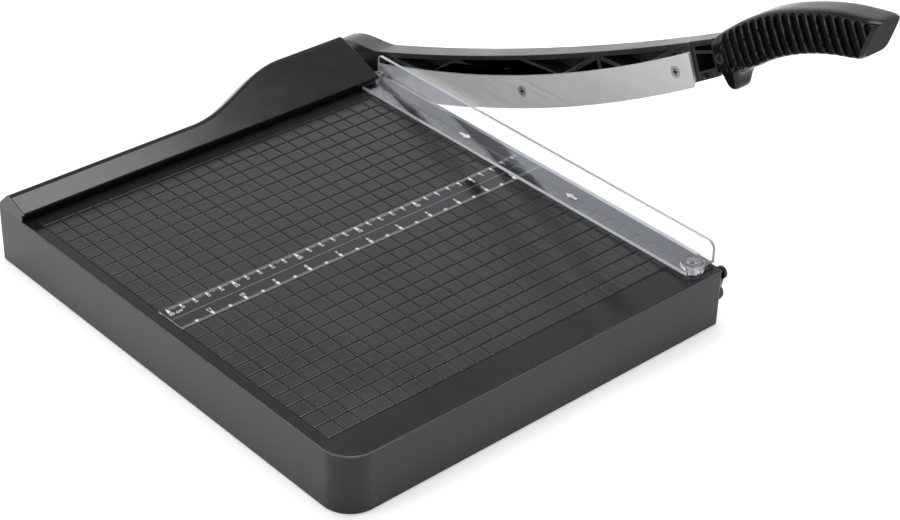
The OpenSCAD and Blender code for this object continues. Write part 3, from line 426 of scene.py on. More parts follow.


# Moulded plastic or rubber: grain, faint clouds of tone and gloss, and a paler tone on masked edges that is
# painted highlight, partly rubbed wear
def moulded(name, tones, gloss, grain, depth, edge=None, index=1.5, edge_highlight=EDGE_WEAR_AND_HIGHLIGHT):
    material, tree, shader = start_material(name)
    skin = place_group(tree, MOULDED_GRAIN, Grain_Scale=grain)
    clouds = skin.outputs["Clouds"]
    colour = blend_colours(tree, clouds, (tones[0],) * 3, (tones[1],) * 3)
    # Painted highlight: the edge mask lays a paler tone over the colour
    if edge:
        painted_edge = place_group(tree, edge_highlight)
        colour = blend_colours(tree, painted_edge.outputs["Mask"], colour, (edge,) * 3)
    tree.links.new(colour, shader.inputs["Base Color"])
    tree.links.new(spread(tree, clouds, 0.0, 1.0, *gloss), shader.inputs["Roughness"])
    bump_from(tree, shader, skin.outputs["Height"], depth)
    shader.inputs["IOR"].default_value = index
    return material


# Metal with fine lines along one direction of the piece
def brushed(name, colour, stain, rough, turn, stretch, lines=900.0):
    material, tree, shader = start_material(name)
    place = tree.nodes.new("ShaderNodeTexCoord").outputs["Object"]
    mapping = tree.nodes.new("ShaderNodeMapping")
    mapping.inputs["Rotation"].default_value = turn
    mapping.inputs["Scale"].default_value = stretch
    tree.links.new(place, mapping.inputs["Vector"])
    skin = place_group(tree, BRUSHED_LINES, Line_Scale=lines)
    tree.links.new(mapping.outputs["Vector"], skin.inputs["Vector"])
    tone = blend_colours(tree, skin.outputs["Stains"], colour, stain)
    tree.links.new(tone, shader.inputs["Base Color"])
    gloss = spread(tree, skin.outputs["Lines"], 0.0, 1.0, rough - 0.06, rough + 0.08)
    tree.links.new(gloss, shader.inputs["Roughness"])
    bump_from(tree, shader, skin.outputs["Lines"], BRUSH_DEPTH)
    shader.inputs["Metallic"].default_value = 1.0
    return material


# Clear sheet that lets light through for shadows, so that the bed below it stays lit
def clear_sheet(name, colour, rough, coat, clear):
    material, tree, shader = start_material(name)
    skin = place_group(tree, MOULDED_GRAIN, Grain_Scale=90.0, Cloud_Scale=60.0)
    tone = blend_colours(tree, skin.outputs["Clouds"], colour, CLEAR_PALE)
    tree.links.new(tone, shader.inputs["Base Color"])
    gloss = spread(tree, skin.outputs["Clouds"], 0.0, 1.0, rough, rough + 0.03)
    tree.links.new(gloss, shader.inputs["Roughness"])
    shader.inputs["Transmission Weight"].default_value = clear
    shader.inputs["IOR"].default_value = CLEAR_INDEX
    shader.inputs["Coat Weight"].default_value = coat
    shader.inputs["Coat Roughness"].default_value = 0.03
    through = tree.nodes.new("ShaderNodeBsdfTransparent")
    through.inputs["Color"].default_value = (*CLEAR_SHADE, 1.0)
    ray = tree.nodes.new("ShaderNodeLightPath")
    pick = tree.nodes.new("ShaderNodeMixShader")
    tree.links.new(ray.outputs["Is Shadow Ray"], pick.inputs["Fac"])
    tree.links.new(shader.outputs["BSDF"], pick.inputs[1])
    tree.links.new(through.outputs["BSDF"], pick.inputs[2])
    tree.links.new(pick.outputs["Shader"], tree.nodes["Material Output"].inputs["Surface"])
    return material


# Painted highlight: a paler tone (edge) on the base's rounded top rim
base_plastic = moulded(
    "base_plastic", (0.008, 0.010), (0.18, 0.23), 2200.0, 0.8e-5, edge=0.12, index=1.42, edge_highlight=RIM_HIGHLIGHT_BAND,
)
# Near-black painted shade for the floor of the bed's grooves and the screws' cross recesses
recess_shade = moulded("recess_shade", (0.002, 0.004), (0.60, 0.70), 2200.0, 0.5e-5, index=1.3)
# Painted highlight: a paler tone (edge) on the squares' raised edges
bed_plastic = moulded("bed_plastic", (0.014, 0.018), (0.21, 0.27), 2200.0, 0.8e-5, edge=0.06)
fence_plastic = moulded("fence_plastic", (0.007, 0.009), (0.17, 0.22), 2600.0, 0.8e-5)
cover_plastic = moulded("cover_plastic", (0.014, 0.020), (0.50, 0.60), 1400.0, 2.0e-5)
foot_rubber = moulded("foot_rubber", (0.012, 0.020), (0.75, 0.90), 1800.0, 3.0e-5)
ruler_gloss = moulded("ruler_gloss", (0.006, 0.008), (0.10, 0.14), 300.0, 0.2e-5, index=1.62)
ruler_white = moulded("ruler_white", (0.70, 0.78), (0.40, 0.50), 3000.0, 0.3e-5)
# Painted highlight: a paler tone (edge) on the arm's rib edges
arm_plastic = moulded("arm_plastic", (0.014, 0.019), (0.26, 0.34), 2400.0, 1.0e-5, edge=0.06)
arm_face = moulded("arm_face", (0.010, 0.013), (0.30, 0.36), 2400.0, 1.0e-5)
# Painted highlight: a paler tone (edge) on the grip's fin edges
grip_plastic = moulded(
    "grip_plastic", (0.003, 0.005), (0.14, 0.20), 2000.0, 0.5e-5, edge=0.11, index=1.38,
)
# Painted shade: near-black matt slots, and a flat end that reflects less than the rest of the grip
grip_slot_shade = moulded("grip_slot_shade", (0.0010, 0.0018), (0.45, 0.55), 2000.0, 0.5e-5, index=1.25)
grip_end_shade = moulded("grip_end_shade", (0.008, 0.012), (0.30, 0.38), 2000.0, 0.5e-5, index=1.12)
# Painted highlight: a paler tone (edge) on the latch's edges
latch_black = moulded("latch_black", (0.008, 0.012), (0.25, 0.34), 2000.0, 0.8e-5, edge=0.03)
blade_steel = brushed("blade_steel", (0.88, 0.87, 0.85), (0.82, 0.81, 0.79), 0.55, ALONG_ARM, ALONG_Y)
counter_steel = brushed("counter_steel", (0.70, 0.69, 0.67), (0.62, 0.61, 0.59), 0.40, UNTURNED, ALONG_Y)
zinc_steel = brushed("zinc_steel", (0.60, 0.60, 0.60), (0.50, 0.50, 0.51), 0.28, UNTURNED, EVEN, 1500.0)
spring_steel = brushed("spring_steel", (0.52, 0.52, 0.53), (0.44, 0.44, 0.45), 0.25, UNTURNED, EVEN, 1200.0)
bush_bronze = brushed("bush_bronze", (0.50, 0.34, 0.15), (0.42, 0.28, 0.12), 0.38, UNTURNED, EVEN, 1200.0)
guard_clear = clear_sheet("guard_clear", (0.93, 0.94, 0.97), rough=0.02, coat=1.0, clear=1.0)
guard_edge = clear_sheet("guard_edge", (0.86, 0.88, 0.90), rough=0.35, coat=0.0, clear=0.5)


# Tolerances for copies of CAD meshes
MERGE_GAP = 2e-6
SLIVER = 1e-7
FLAT_ANGLE = math.radians(0.4)
SHARP_ANGLE = math.radians(30.0)


# Pieces
def add_piece(name, mesh, body, materials, replaced=()):
    piece = bpy.data.objects.new(name, mesh)
    scene.collection.objects.link(piece)
    for material in materials:
        mesh.materials.append(material)
    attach(piece, body)
    if replaced:
        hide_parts(*replaced)
    return piece


# The mesh of an object with its modifiers applied
def applied(piece):
    graph = bpy.context.evaluated_depsgraph_get()
    mesh = bpy.data.meshes.new_from_object(piece.evaluated_get(graph))
    piece.modifiers.clear()
    bpy.data.objects.remove(piece)
    return mesh


def loose_object(name, mesh):
    piece = bpy.data.objects.new(name, mesh)
    scene.collection.objects.link(piece)
    return piece


# Smooth shading that keeps flat faces flat beside their rounded edges
def smoothed(name, mesh, crease=35.0):
    mesh.shade_smooth()
    mesh.set_sharp_from_angle(angle=math.radians(crease))
    piece = loose_object(name, mesh)
    weigh = piece.modifiers.new("weigh", "WEIGHTED_NORMAL")
    weigh.keep_sharp = True
    result = applied(piece)
    result.name = name
    return result


def mesh_from(name, bm):
    mesh = bpy.data.meshes.new(name)
    bm.to_mesh(mesh)
    bm.free()
    return mesh


# Closed copy of a CAD node's loose triangles, with flat faces joined
def closed_copy(node):
    source = nodes[node].data
    bm = bmesh.new()
    corners = [bm.verts.new(v.co) for v in source.vertices]
    for face in source.polygons:
        bm.faces.new([corners[i] for i in face.vertices])
    bmesh.ops.remove_doubles(bm, verts=bm.verts, dist=MERGE_GAP)
    bmesh.ops.dissolve_degenerate(bm, edges=bm.edges, dist=SLIVER)
    bmesh.ops.dissolve_limit(bm, angle_limit=FLAT_ANGLE, verts=bm.verts, edges=bm.edges)
    return bm


# Rounds the sharp edges, or those of them that are chosen
def soften(bm, radius, steps, chosen=None):
    edges = [e for e in bm.edges if len(e.link_faces) == 2 and e.calc_face_angle(0.0) > SHARP_ANGLE]
    if chosen:
        edges = [e for e in edges if chosen(e)]
    bmesh.ops.bevel(
        bm, geom=edges, offset=radius * MM, offset_type="OFFSET", segments=steps, profile=0.5,
        affect="EDGES", clamp_overlap=False, miter_outer="ARC",
    )


def cut_away(mesh, cutter):
    body = loose_object("cut_body", mesh)
    tool = loose_object("cut_tool", cutter)
    cut = body.modifiers.new("cut", "BOOLEAN")
    cut.operation = "DIFFERENCE"
    cut.solver = "EXACT"
    cut.object = tool
    result = applied(body)
    bpy.data.objects.remove(tool)
    return result


def cut_at(bm, place, normal, drop_outer=False):
    everything = list(bm.verts) + list(bm.edges) + list(bm.faces)
    bmesh.ops.bisect_plane(bm, geom=everything, plane_co=place, plane_no=normal, clear_outer=drop_outer)


def block_mesh(low, high):
    bm = bmesh.new()
    bmesh.ops.create_cube(bm, size=1.0)
    for v in bm.verts:
        v.co = Vector([(high[i] if v.co[i] > 0 else low[i]) * MM for i in range(3)])
    return mesh_from("block", bm)


# Closed skin over rings of points in millimetres
def loft_mesh(name, rings):
    bm = bmesh.new()
    loops = [[bm.verts.new(Vector(p) * MM) for p in ring] for ring in rings]
    count = len(loops[0])
    for near, far in zip(loops, loops[1:]):
        for i in range(count):
            k = (i + 1) % count
            bm.faces.new((near[i], near[k], far[k], far[i]))
    bm.faces.new(loops[0])
    bm.faces.new(loops[-1])
    bmesh.ops.recalc_face_normals(bm, faces=bm.faces)
    return mesh_from(name, bm)


def merged(meshes):
    bm = bmesh.new()
    for mesh in meshes:
        bm.from_mesh(mesh)
    return bm


# CAD node with rounded edges, and a second finish on the faces that are picked
def add_rounded_copy(name, node, body, materials, radius, steps, second=None):
    bm = closed_copy(node)
    soften(bm, radius, steps)
    for face in bm.faces:
        if second and second(face):
            face.material_index = 1
    mesh = smoothed(name, mesh_from(name, bm))
    add_piece(name, mesh, body, materials, [node])


def ease(t):
    t = min(max(t, 0.0), 1.0)
    return t * t * (3.0 - 2.0 * t)


def steps_between(low, high, count):
    return [low + (high - low) * i / count for i in range(count + 1)]


# Base
def back_edge(x):
    return BACK_Y + HOOD_BULGE * ease((x - SWEEP_START_X) / SWEEP_LENGTH)


# How far a point lies inside the base's outline, seen from above
def outline_gap(point):
    x, y = point.x / MM, point.y / MM
    gap = min(x - LEFT_X, y - FRONT_Y, back_edge(x) - y, CUT_X - x)
    if x < LEFT_X + CORNER_R and y < FRONT_Y + CORNER_R:
        gap = CORNER_R - math.hypot(x - LEFT_X - CORNER_R, y - FRONT_Y - CORNER_R)
    return gap


# The CAD shell with a rounded top edge, and a shallow field for the ruled squares
def make_base():
    bm = closed_copy("base_shell")
    fence_line = (FENCE_Y + LIP_FOOT) * MM
    cut_at(bm, (0, fence_line, 0), (0, 1, 0))

    def on_rim(edge):
        return all(
            abs(v.co.z / MM - BED_Z) < LEVEL_GAP and outline_gap(v.co) < RIM_REACH
            and v.co.y < fence_line + MERGE_GAP
            for v in edge.verts
        )

    soften(bm, RIM_R, RIM_STEPS, on_rim)
    grid_right = GRID_LEFT_X + GRID_COLUMNS * PITCH
    field = block_mesh(
        (GRID_LEFT_X - GROOVE_COLUMN / 2, GRID_FRONT_Y - GROOVE_ROW / 2, BED_Z - GROOVE_DEPTH),
        (grid_right + GROOVE_COLUMN / 2, GRID_FRONT_Y + GRID_ROWS * PITCH, BED_Z + FIELD_TOP),
    )
    mesh = cut_away(mesh_from("base_body", bm), field)
    # The field's floor, seen in the grooves between the squares, takes the painted recess shade
    for face in mesh.polygons:
        if abs(face.center.z / MM - BED_Z + GROOVE_DEPTH) < LEVEL_GAP and face.normal.z > FACING:
            face.material_index = 1
    mesh = smoothed("base_moulding", mesh)
    add_piece("base_moulding", mesh, "base", [base_plastic, recess_shade], ["base_shell"])


make_base()


# Geometry Nodes helpers
def open_tree(name, inputs):
    tree = bpy.data.node_groups.new(name, "GeometryNodeTree")
    tree.interface.new_socket("Geometry", in_out="INPUT", socket_type="NodeSocketGeometry")
    for label, kind, value in inputs:
        socket = tree.interface.new_socket(label, in_out="INPUT", socket_type=kind)
        if value is not None:
            socket.default_value = value
    tree.interface.new_socket("Finish", in_out="INPUT", socket_type="NodeSocketMaterial")
    tree.interface.new_socket("Geometry", in_out="OUTPUT", socket_type="NodeSocketGeometry")
    return tree, tree.nodes.new("NodeGroupInput"), tree.nodes.new("NodeGroupOutput")


# Lays the seed on every point that isn't left out, and ends the tree
def lay_on_points(tree, inside, outside, points, left_out):
    clear = tree.nodes.new("GeometryNodeDeleteGeometry")
    lay = tree.nodes.new("GeometryNodeInstanceOnPoints")
    real = tree.nodes.new("GeometryNodeRealizeInstances")
    paint = tree.nodes.new("GeometryNodeSetMaterial")
    tree.links.new(points, clear.inputs["Geometry"])
    tree.links.new(left_out, clear.inputs["Selection"])
    tree.links.new(clear.outputs[0], lay.inputs["Points"])
    tree.links.new(inside.outputs["Geometry"], lay.inputs["Instance"])
    tree.links.new(lay.outputs[0], real.inputs[0])
    tree.links.new(real.outputs[0], paint.inputs["Geometry"])
    tree.links.new(inside.outputs["Finish"], paint.inputs["Material"])
    tree.links.new(paint.outputs["Geometry"], outside.inputs["Geometry"])


def offset_points(tree, count, offsets, corner):
    points = tree.nodes.new("GeometryNodePoints")
    offset = tree.nodes.new("ShaderNodeCombineXYZ")
    place = tree.nodes.new("ShaderNodeVectorMath")
    tree.links.new(count, points.inputs["Count"])
    for socket, value in zip(offset.inputs, offsets):
        tree.links.new(value, socket)
    tree.links.new(offset.outputs[0], place.inputs[0])
    tree.links.new(corner, place.inputs[1])
    tree.links.new(place.outputs[0], points.inputs["Position"])
    return points.outputs[0]


def grow(name, seed, tree, values):
    piece = loose_object(name, seed)
    modifier = piece.modifiers.new("grow", "NODES")
    modifier.node_group = tree
    for item in tree.interface.items_tree:
        if item.item_type == "SOCKET" and item.in_out == "INPUT" and item.name in values:
            modifier[item.identifier] = values[item.name]
    mesh = applied(piece)
    mesh.name = name
    return mesh


# Tree that lays one square on every place of a grid, and leaves a band of rows free
def make_square_field():
    tree, inside, outside = open_tree("square_field", [
        ("Columns", "NodeSocketInt", 10), ("Rows", "NodeSocketInt", 10), ("Pitch", "NodeSocketFloat", 0.01),
        ("Corner", "NodeSocketVector", None), ("Free From", "NodeSocketInt", 0),
        ("Free Rows", "NodeSocketInt", 0),
    ])
    given = inside.outputs
    index = tree.nodes.new("GeometryNodeInputIndex").outputs[0]
    column = math_node(tree, "MODULO", index, given["Columns"])
    row = math_node(tree, "FLOOR", math_node(tree, "DIVIDE", index, given["Columns"]))
    offsets = [
        math_node(tree, "MULTIPLY", math_node(tree, "ADD", step, 0.5), given["Pitch"])
        for step in (column, row)
    ]
    total = math_node(tree, "MULTIPLY", given["Columns"], given["Rows"])
    points = offset_points(tree, total, offsets, given["Corner"])
    into = math_node(tree, "SUBTRACT", math_node(tree, "ADD", row, 0.5), given["Free From"])
    inside_band = math_node(tree, "LESS_THAN", into, given["Free Rows"])
    free = math_node(tree, "MULTIPLY", inside_band, math_node(tree, "GREATER_THAN", into, 0.0))
    lay_on_points(tree, inside, outside, points, free)
    return tree


# Tree that lays one mark after another along X, and can leave out every so many
def make_mark_row():
    tree, inside, outside = open_tree("mark_row", [
        ("Count", "NodeSocketInt", 10), ("Pitch", "NodeSocketFloat", 0.01),
        ("Start", "NodeSocketVector", None), ("Leave Out Every", "NodeSocketInt", 1000),
    ])
    given = inside.outputs
    index = tree.nodes.new("GeometryNodeInputIndex").outputs[0]
    along = math_node(tree, "MULTIPLY", index, given["Pitch"])
    points = offset_points(tree, given["Count"], [along], given["Start"])
    rest = math_node(tree, "MODULO", index, given["Leave Out Every"])
    lay_on_points(tree, inside, outside, points, math_node(tree, "LESS_THAN", rest, 0.5))
    return tree


# One dished square of the bed with a skirt round it, about its own middle
def square_seed():
    half_x = (PITCH - GROOVE_COLUMN) / 2
    half_y = (PITCH - GROOVE_ROW) / 2
    bm = bmesh.new()
    rows = []
    for v in SQUARE_LINES:
        row = []
        for u in SQUARE_LINES:
            far = max(abs(u), abs(v))
            if far > SQUARE_RIM:
                z = -RIM_DROP
            elif far > SQUARE_SHOULDER:
                z = -SHOULDER_DROP
            else:
                z = -DISH * (1.0 - (u / SQUARE_DISHED) ** 2) * (1.0 - (v / SQUARE_DISHED) ** 2)
            row.append(bm.verts.new(Vector((u * half_x, v * half_y, z)) * MM))
        rows.append(row)
    last = len(SQUARE_LINES) - 1
    for j in range(last):
        for i in range(last):
            bm.faces.new((rows[j][i], rows[j][i + 1], rows[j + 1][i + 1], rows[j + 1][i]))
    rim = rows[0][:-1] + [row[-1] for row in rows[:-1]] + rows[-1][:0:-1] + [row[0] for row in rows[:0:-1]]
    foot = [bm.verts.new((v.co.x, v.co.y, -SKIRT * MM)) for v in rim]
    for i in range(len(rim)):
        bm.faces.new((foot[i - 1], foot[i], rim[i], rim[i - 1]))
    mesh = mesh_from("bed_square", bm)
    mesh.shade_smooth()
    return mesh


def make_bed_squares():
    mesh = grow("bed_squares", square_seed(), make_square_field(), {
        "Columns": GRID_COLUMNS, "Rows": GRID_ROWS, "Pitch": PITCH * MM,
        "Corner": (GRID_LEFT_X * MM, GRID_FRONT_Y * MM, BED_Z * MM),
        "Free From": RULER_ROW, "Free Rows": RULER_ROWS, "Finish": bed_plastic,
    })
    add_piece("bed_squares", mesh, "base", [])


make_bed_squares()


# Ruler print: flat marks just above the strip
def flat_mark(points):
    bm = bmesh.new()
    face = bm.faces.new([bm.verts.new(Vector((x, y, 0.0)) * MM) for x, y in points])
    if face.normal.z < 0:
        face.normal_flip()
    bm.normal_update()
    return mesh_from("mark", bm)


def tick(width, length, toward):
    half, end = width / 2, toward * length
    return flat_mark([(-half, 0), (half, 0), (half, end), (-half, end)])


# Narrow arrow with its tip on the strip's edge
def arrow(width, length, toward):
    return flat_mark([(0, 0), (width / 2, toward * length), (-width / 2, toward * length)])


def numeral(text, height, x, y):
    letters = bpy.data.curves.new("numeral", "FONT")
    letters.body = text
    letters.size = height * MM
    letters.align_x = "CENTER"
    letters.align_y = "CENTER"
    letters.offset = NUMERAL_WEIGHT * height * MM
    mesh = applied(loose_object("numeral", letters))
    mesh.transform(Matrix.Translation(Vector((x, y, PRINT_Z)) * MM))
    return mesh


# Flat bar about a place in the print
def bar(x, y, half_x, half_y):
    mesh = flat_mark([(-half_x, -half_y), (half_x, -half_y), (half_x, half_y), (-half_x, half_y)])
    mesh.transform(Matrix.Translation(Vector((x, y, PRINT_Z)) * MM))
    return mesh


# Both scales run from the cut to the left, centimetres along the back and inches along the front
def make_ruler_print():
    tree = make_mark_row()
    back = RULER_BACK_Y - PRINT_MARGIN
    front = RULER_FRONT_Y + PRINT_MARGIN
    middle = (back + front) / 2

    def row(seed, count, pitch, x, y, leave_out=NO_GAPS):
        return grow("marks", seed, tree, {
            "Count": count, "Pitch": -pitch * MM, "Start": Vector((x, y, PRINT_Z)) * MM,
            "Leave Out Every": leave_out, "Finish": ruler_white,
        })

    parts = [
        row(tick(*MM_TICK, -1), LAST_CM * 10 + 1, 1.0, CUT_X, back, 5),
        row(tick(*HALF_CM_TICK, -1), LAST_CM + 1, 10.0, CUT_X - 5.0, back),
        row(arrow(*CM_ARROW, -1), LAST_CM + 1, 10.0, CUT_X, back, 5),
        row(arrow(*FIVE_CM_ARROW, -1), LAST_CM // 5 + 1, 50.0, CUT_X, back),
        row(tick(*SIXTEENTH_TICK, 1), (LAST_INCH + 1) * 16 + 1, INCH / 16, CUT_X, front, 8),
        row(arrow(*HALF_INCH_ARROW, 1), LAST_INCH + 1, INCH, CUT_X - INCH / 2, front),
        row(arrow(*INCH_ARROW, 1), LAST_INCH + 1, INCH, CUT_X, front),
    ]
    for cm in range(1, LAST_CM + 1):
        height, drop = (SMALL_NUMERAL, SMALL_DROP) if cm % 5 else (LARGE_NUMERAL, LARGE_DROP)
        text, shift = (f"{cm} cm", LAST_CM_SHIFT) if cm == LAST_CM else (str(cm), 0.0)
        parts.append(numeral(text, height, CUT_X - 10.0 * cm + shift, back - drop))
    for inch in range(1, LAST_INCH + 1):
        parts.append(numeral(str(inch), LARGE_NUMERAL, CUT_X - INCH * inch, front + LARGE_DROP))
    half_length = (RULER_RIGHT_X - GRID_LEFT_X) / 2
    parts.append(bar(GRID_LEFT_X + half_length, middle, half_length, MIDDLE_LINE_HALF))
    # Painted highlight: a pale line along the strip's left end
    parts.append(bar(GRID_LEFT_X + END_HIGHLIGHT_IN, middle, END_HIGHLIGHT_HALF, (back - front) / 2))
    bm = merged(parts)
    cut_at(bm, (RULER_RIGHT_X * MM, 0, 0), (1, 0, 0), drop_outer=True)
    add_piece("ruler_marks", mesh_from("ruler_marks", bm), "base", [ruler_white])


make_ruler_print()


# Outline with its corners rounded by arcs
def rounded(points, radii):
    outline = []
    for i, (corner, radius) in enumerate(zip(points, radii)):
        before = points[i - 1] - corner
        after = points[(i + 1) % len(points)] - corner
        if not radius:
            outline.append(corner)
            continue
        opening = before.angle(after)
        room = CORNER_SHARE * min(before.length, after.length)
        reach = min(radius / math.tan(opening / 2), room)
        radius = reach * math.tan(opening / 2)
        before.normalize()
        after.normalize()
        centre = corner + (before + after).normalized() * radius / math.sin(opening / 2)
        first = corner + before * reach - centre
        last = corner + after * reach - centre
        turn = math.pi - opening
        for a in steps_between(0.0, turn, CORNER_STEPS):
            spoke = (first * math.sin(turn - a) + last * math.sin(a)) / math.sin(turn)
            outline.append(centre + spoke)
    return outline


# Fence cover's outline at one place along X, from the bed's level up over the ridge
def cover_outline(x):
    back = back_edge(x)
    ridge_y = back - RIDGE_SETBACK
    ridge_z = BED_Z + LIP_TOP + FENCE_SLOPE * (ridge_y - FENCE_Y)
    points = [
        (back, BED_Z),
        (FENCE_Y + LIP_FOOT, BED_Z),
        (FENCE_Y + LIP_STEP_IN, BED_Z + LIP_STEP_UP),
        (FENCE_Y, BED_Z + LIP_LOW),
        (FENCE_Y, BED_Z + LIP_TOP),
        (ridge_y - RIDGE_LEAD, ridge_z - RIDGE_LEAD * FENCE_SLOPE),
        (ridge_y + CREST_PAST, ridge_z - CREST_FALL),
    ]
    points += [(ridge_y + y * RIDGE_SETBACK, ridge_z - z * RIDGE_FALL) for y, z in BACK_CURVE]
    return rounded([Vector(p) for p in points], COVER_RADII)


# Outline moved inwards by an even distance
def drawn_in(outline, inset):
    count = len(outline)
    result = []
    for i, point in enumerate(outline):
        along = (outline[(i + 1) % count] - outline[i - 1]).normalized()
        result.append(point + Vector((along.y, -along.x)) * inset)
    return result


# Cover along X with rounded edges at the ends that ask for them
def cover_loft(name, stations, round_low, round_high):
    low, high = stations[0], stations[-1]
    rings = []
    turns = steps_between(0.0, math.pi / 2, END_ROUND_STEPS)
    if round_low:
        stations = stations[1:]
        rings += [(low + round_low * (1 - math.cos(a)), round_low * (1 - math.sin(a))) for a in turns]
    plain = stations[:-1] if round_high else stations
    rings += [(x, 0.0) for x in plain]
    if round_high:
        turns.reverse()
        rings += [(high - round_high * (1 - math.cos(a)), round_high * (1 - math.sin(a))) for a in turns]
    loops = []
    for x, inset in rings:
        outline = cover_outline(x)
        if inset:
            outline = outline[:2] + drawn_in(outline, inset)[2:]
        loops.append([(x, p.x, p.y) for p in outline])
    return loft_mesh(name, loops)


def make_fence():
    start = LEFT_X + END_CAP + END_CAP_GAP
    bend = steps_between(SWEEP_START_X, SWEEP_START_X + SWEEP_LENGTH, SWEEP_STEPS)
    cover = cover_loft("fence_moulding", [start] + bend + [HOOD_RIGHT_X], 0.0, END_ROUND)
    mesh = smoothed("fence_moulding", cover, COVER_CREASE)
    add_piece("fence_moulding", mesh, "base", [fence_plastic], ["fence_cover"])
    cap = cover_loft("fence_end", [LEFT_X, LEFT_X + END_CAP], END_ROUND, 0.0)
    mesh = smoothed("fence_end", cap, COVER_CREASE)
    add_piece("fence_end", mesh, "base", [fence_plastic], ["fence_end_cap"])


make_fence()


# Grip: a row of points or numbers with its corners cut, which rounds it
def cut_corners(row, times):
    for _ in range(times):
        inner = []
        for a, b in zip(row, row[1:]):
            inner += [a * 0.75 + b * 0.25, a * 0.25 + b * 0.75]
        row = [row[0]] + inner[1:-1] + [row[-1]]
    return row


# Distance along the grip, across its leaning slots
def slot_level(point):
    return point.x * math.cos(SLOT_LEAN) - point.y * math.sin(SLOT_LEAN)


# Value of a row at one level, between the row's nearest points
def at_level(levels, row, level):
    for low, high, a, b in zip(levels, levels[1:], row, row[1:]):
        if level <= high:
            return a + (b - a) * ((level - low) / (high - low))
    return row[-1]


# Row between two levels, as evenly spaced points
def resampled(levels, row, low, high, count):
    path = [at_level(levels, row, low)]
    path += [p for level, p in zip(levels, row) if low < level < high]
    path.append(at_level(levels, row, high))
    reach = [0.0]
    for a, b in zip(path, path[1:]):
        reach.append(reach[-1] + (b - a).length)
    return [at_level(reach, path, reach[-1] * i / count) for i in range(count + 1)]


SLOT_LEVELS = [(SLOT_FIRST + SLOT_PITCH * k) * math.cos(SLOT_LEAN) for k in range(SLOT_COUNT)]
UPPER_ROW = cut_corners([Vector(p) for p in GRIP_UPPER], GRIP_ROUNDING)
LOWER_ROW = cut_corners([Vector(p) for p in GRIP_LOWER], GRIP_ROUNDING)
GIRTH_ROW = cut_corners(GRIP_GIRTH, GRIP_ROUNDING)
UPPER_REACH = [p.x for p in UPPER_ROW]
UNDER_ROW = [p for p in LOWER_ROW if p.x > HOOK_END_X]
UNDER_REACH = [p.x for p in UNDER_ROW]


# How deep a side point lies in a slot, from 0 on a fin to 1 on a slot's floor
def slot_mask(point):
    half = SLOT_WIDTH / 2
    off = min(abs(slot_level(point) - s) for s in SLOT_LEVELS)
    if off > half + SLOT_EDGE:
        return 0.0
    arch = half - math.sqrt(max(half * half - off * off, 0.0))
    over = at_level(UPPER_REACH, UPPER_ROW, point.x).y - point.y
    room = point.y - SLOT_HOOK_TOP
    if point.x > UNDER_REACH[0]:
        room = point.y - at_level(UNDER_REACH, UNDER_ROW, point.x).y - SLOT_LOW_BAND
    face = (UPPER_ROW[-1] - LOWER_ROW[-1]).normalized()
    left = (UPPER_ROW[-1] - point).dot(Vector((face.y, -face.x))) - SLOT_END_BAND
    mask = ease((half + SLOT_EDGE - off) / (2 * SLOT_EDGE)) * ease(left / SLOT_END_FADE)
    return mask * ease((over - SLOT_TOP_BAND - arch) / SLOT_FADE) * ease((room - arch) / SLOT_FADE)


# Rings along the slots where both outlines reach, and rings that turn into the two ends
def grip_rings():
    high = [slot_level(p) for p in UPPER_ROW]
    low = [slot_level(p) for p in LOWER_ROW]
    half = SLOT_WIDTH / 2
    lines = [-half - SLOT_EDGE, -half, -half + SLOT_EDGE, -half / 2, 0.0, half / 2]
    lines += [half - SLOT_EDGE, half, half + SLOT_EDGE]
    levels = [s + d for s in SLOT_LEVELS[:STRAIGHT_SLOTS] for d in lines]
    first, last = levels[0], levels[-1]
    front_top = resampled(high, UPPER_ROW, high[0], first, GRIP_FRONT_RINGS)
    front_low = resampled(low, LOWER_ROW, low[0], first, GRIP_FRONT_RINGS)
    end_top = resampled(high, UPPER_ROW, last, high[-1], GRIP_END_RINGS)
    end_low = resampled(low, LOWER_ROW, last, low[-1], GRIP_END_RINGS)
    pairs = list(zip(front_top, front_low))[:-1]
    pairs += [(at_level(high, UPPER_ROW, level), at_level(low, LOWER_ROW, level)) for level in levels]
    pairs += list(zip(end_top, end_low))[1:]
    return [grip_ring(top, bottom, at_level(UPPER_REACH, GIRTH_ROW, top.x)) for top, bottom in pairs]


# Point at one angle on a circle drawn out towards a square
def squared(angle):
    cos, sin = math.cos(angle), math.sin(angle)
    reach = (abs(cos) ** GRIP_SQUARE + abs(sin) ** GRIP_SQUARE) ** (-1.0 / GRIP_SQUARE)
    return reach * cos, reach * sin


# One ring of the grip, pressed in where it crosses a slot and drawn in on the finger stop
def grip_ring(top, bottom, girth):
    ring = []
    for j in range(GRIP_SIDES):
        across, along = squared(2 * math.pi * j / GRIP_SIDES)
        point = (top + bottom) / 2 + (top - bottom) / 2 * along
        side = girth * GRIP_WIDTH / 2 * across
        limit = GRIP_WIDTH / 2 - SLOT_DEPTH * slot_mask(point)
        side = math.copysign(min(abs(side), limit), side)
        hooked = ease((HOOK_FROM - point.y) / (HOOK_FROM - HOOK_FULL))
        side = side * (1.0 - hooked * (1.0 - HOOK_RATIO)) + hooked * HOOK_SHIFT
        ring.append(arm_point(side, ARM_LENGTH + point.x, ARM_END_TOP + point.y))
    return ring


# Distance from the pivot along the arm and height over it, in millimetres
def arm_frame(place):
    y, z = place.y / MM - PIVOT_Y, place.z / MM - PIVOT_Z
    cos, sin = math.cos(REST_ANGLE), math.sin(REST_ANGLE)
    return z * sin - y * cos, y * sin + z * cos


def arm_point(side, u, w):
    cos, sin = math.cos(REST_ANGLE), math.sin(REST_ANGLE)
    return (GRIP_MID_X + side, PIVOT_Y - u * cos + w * sin, PIVOT_Z + u * sin + w * cos)


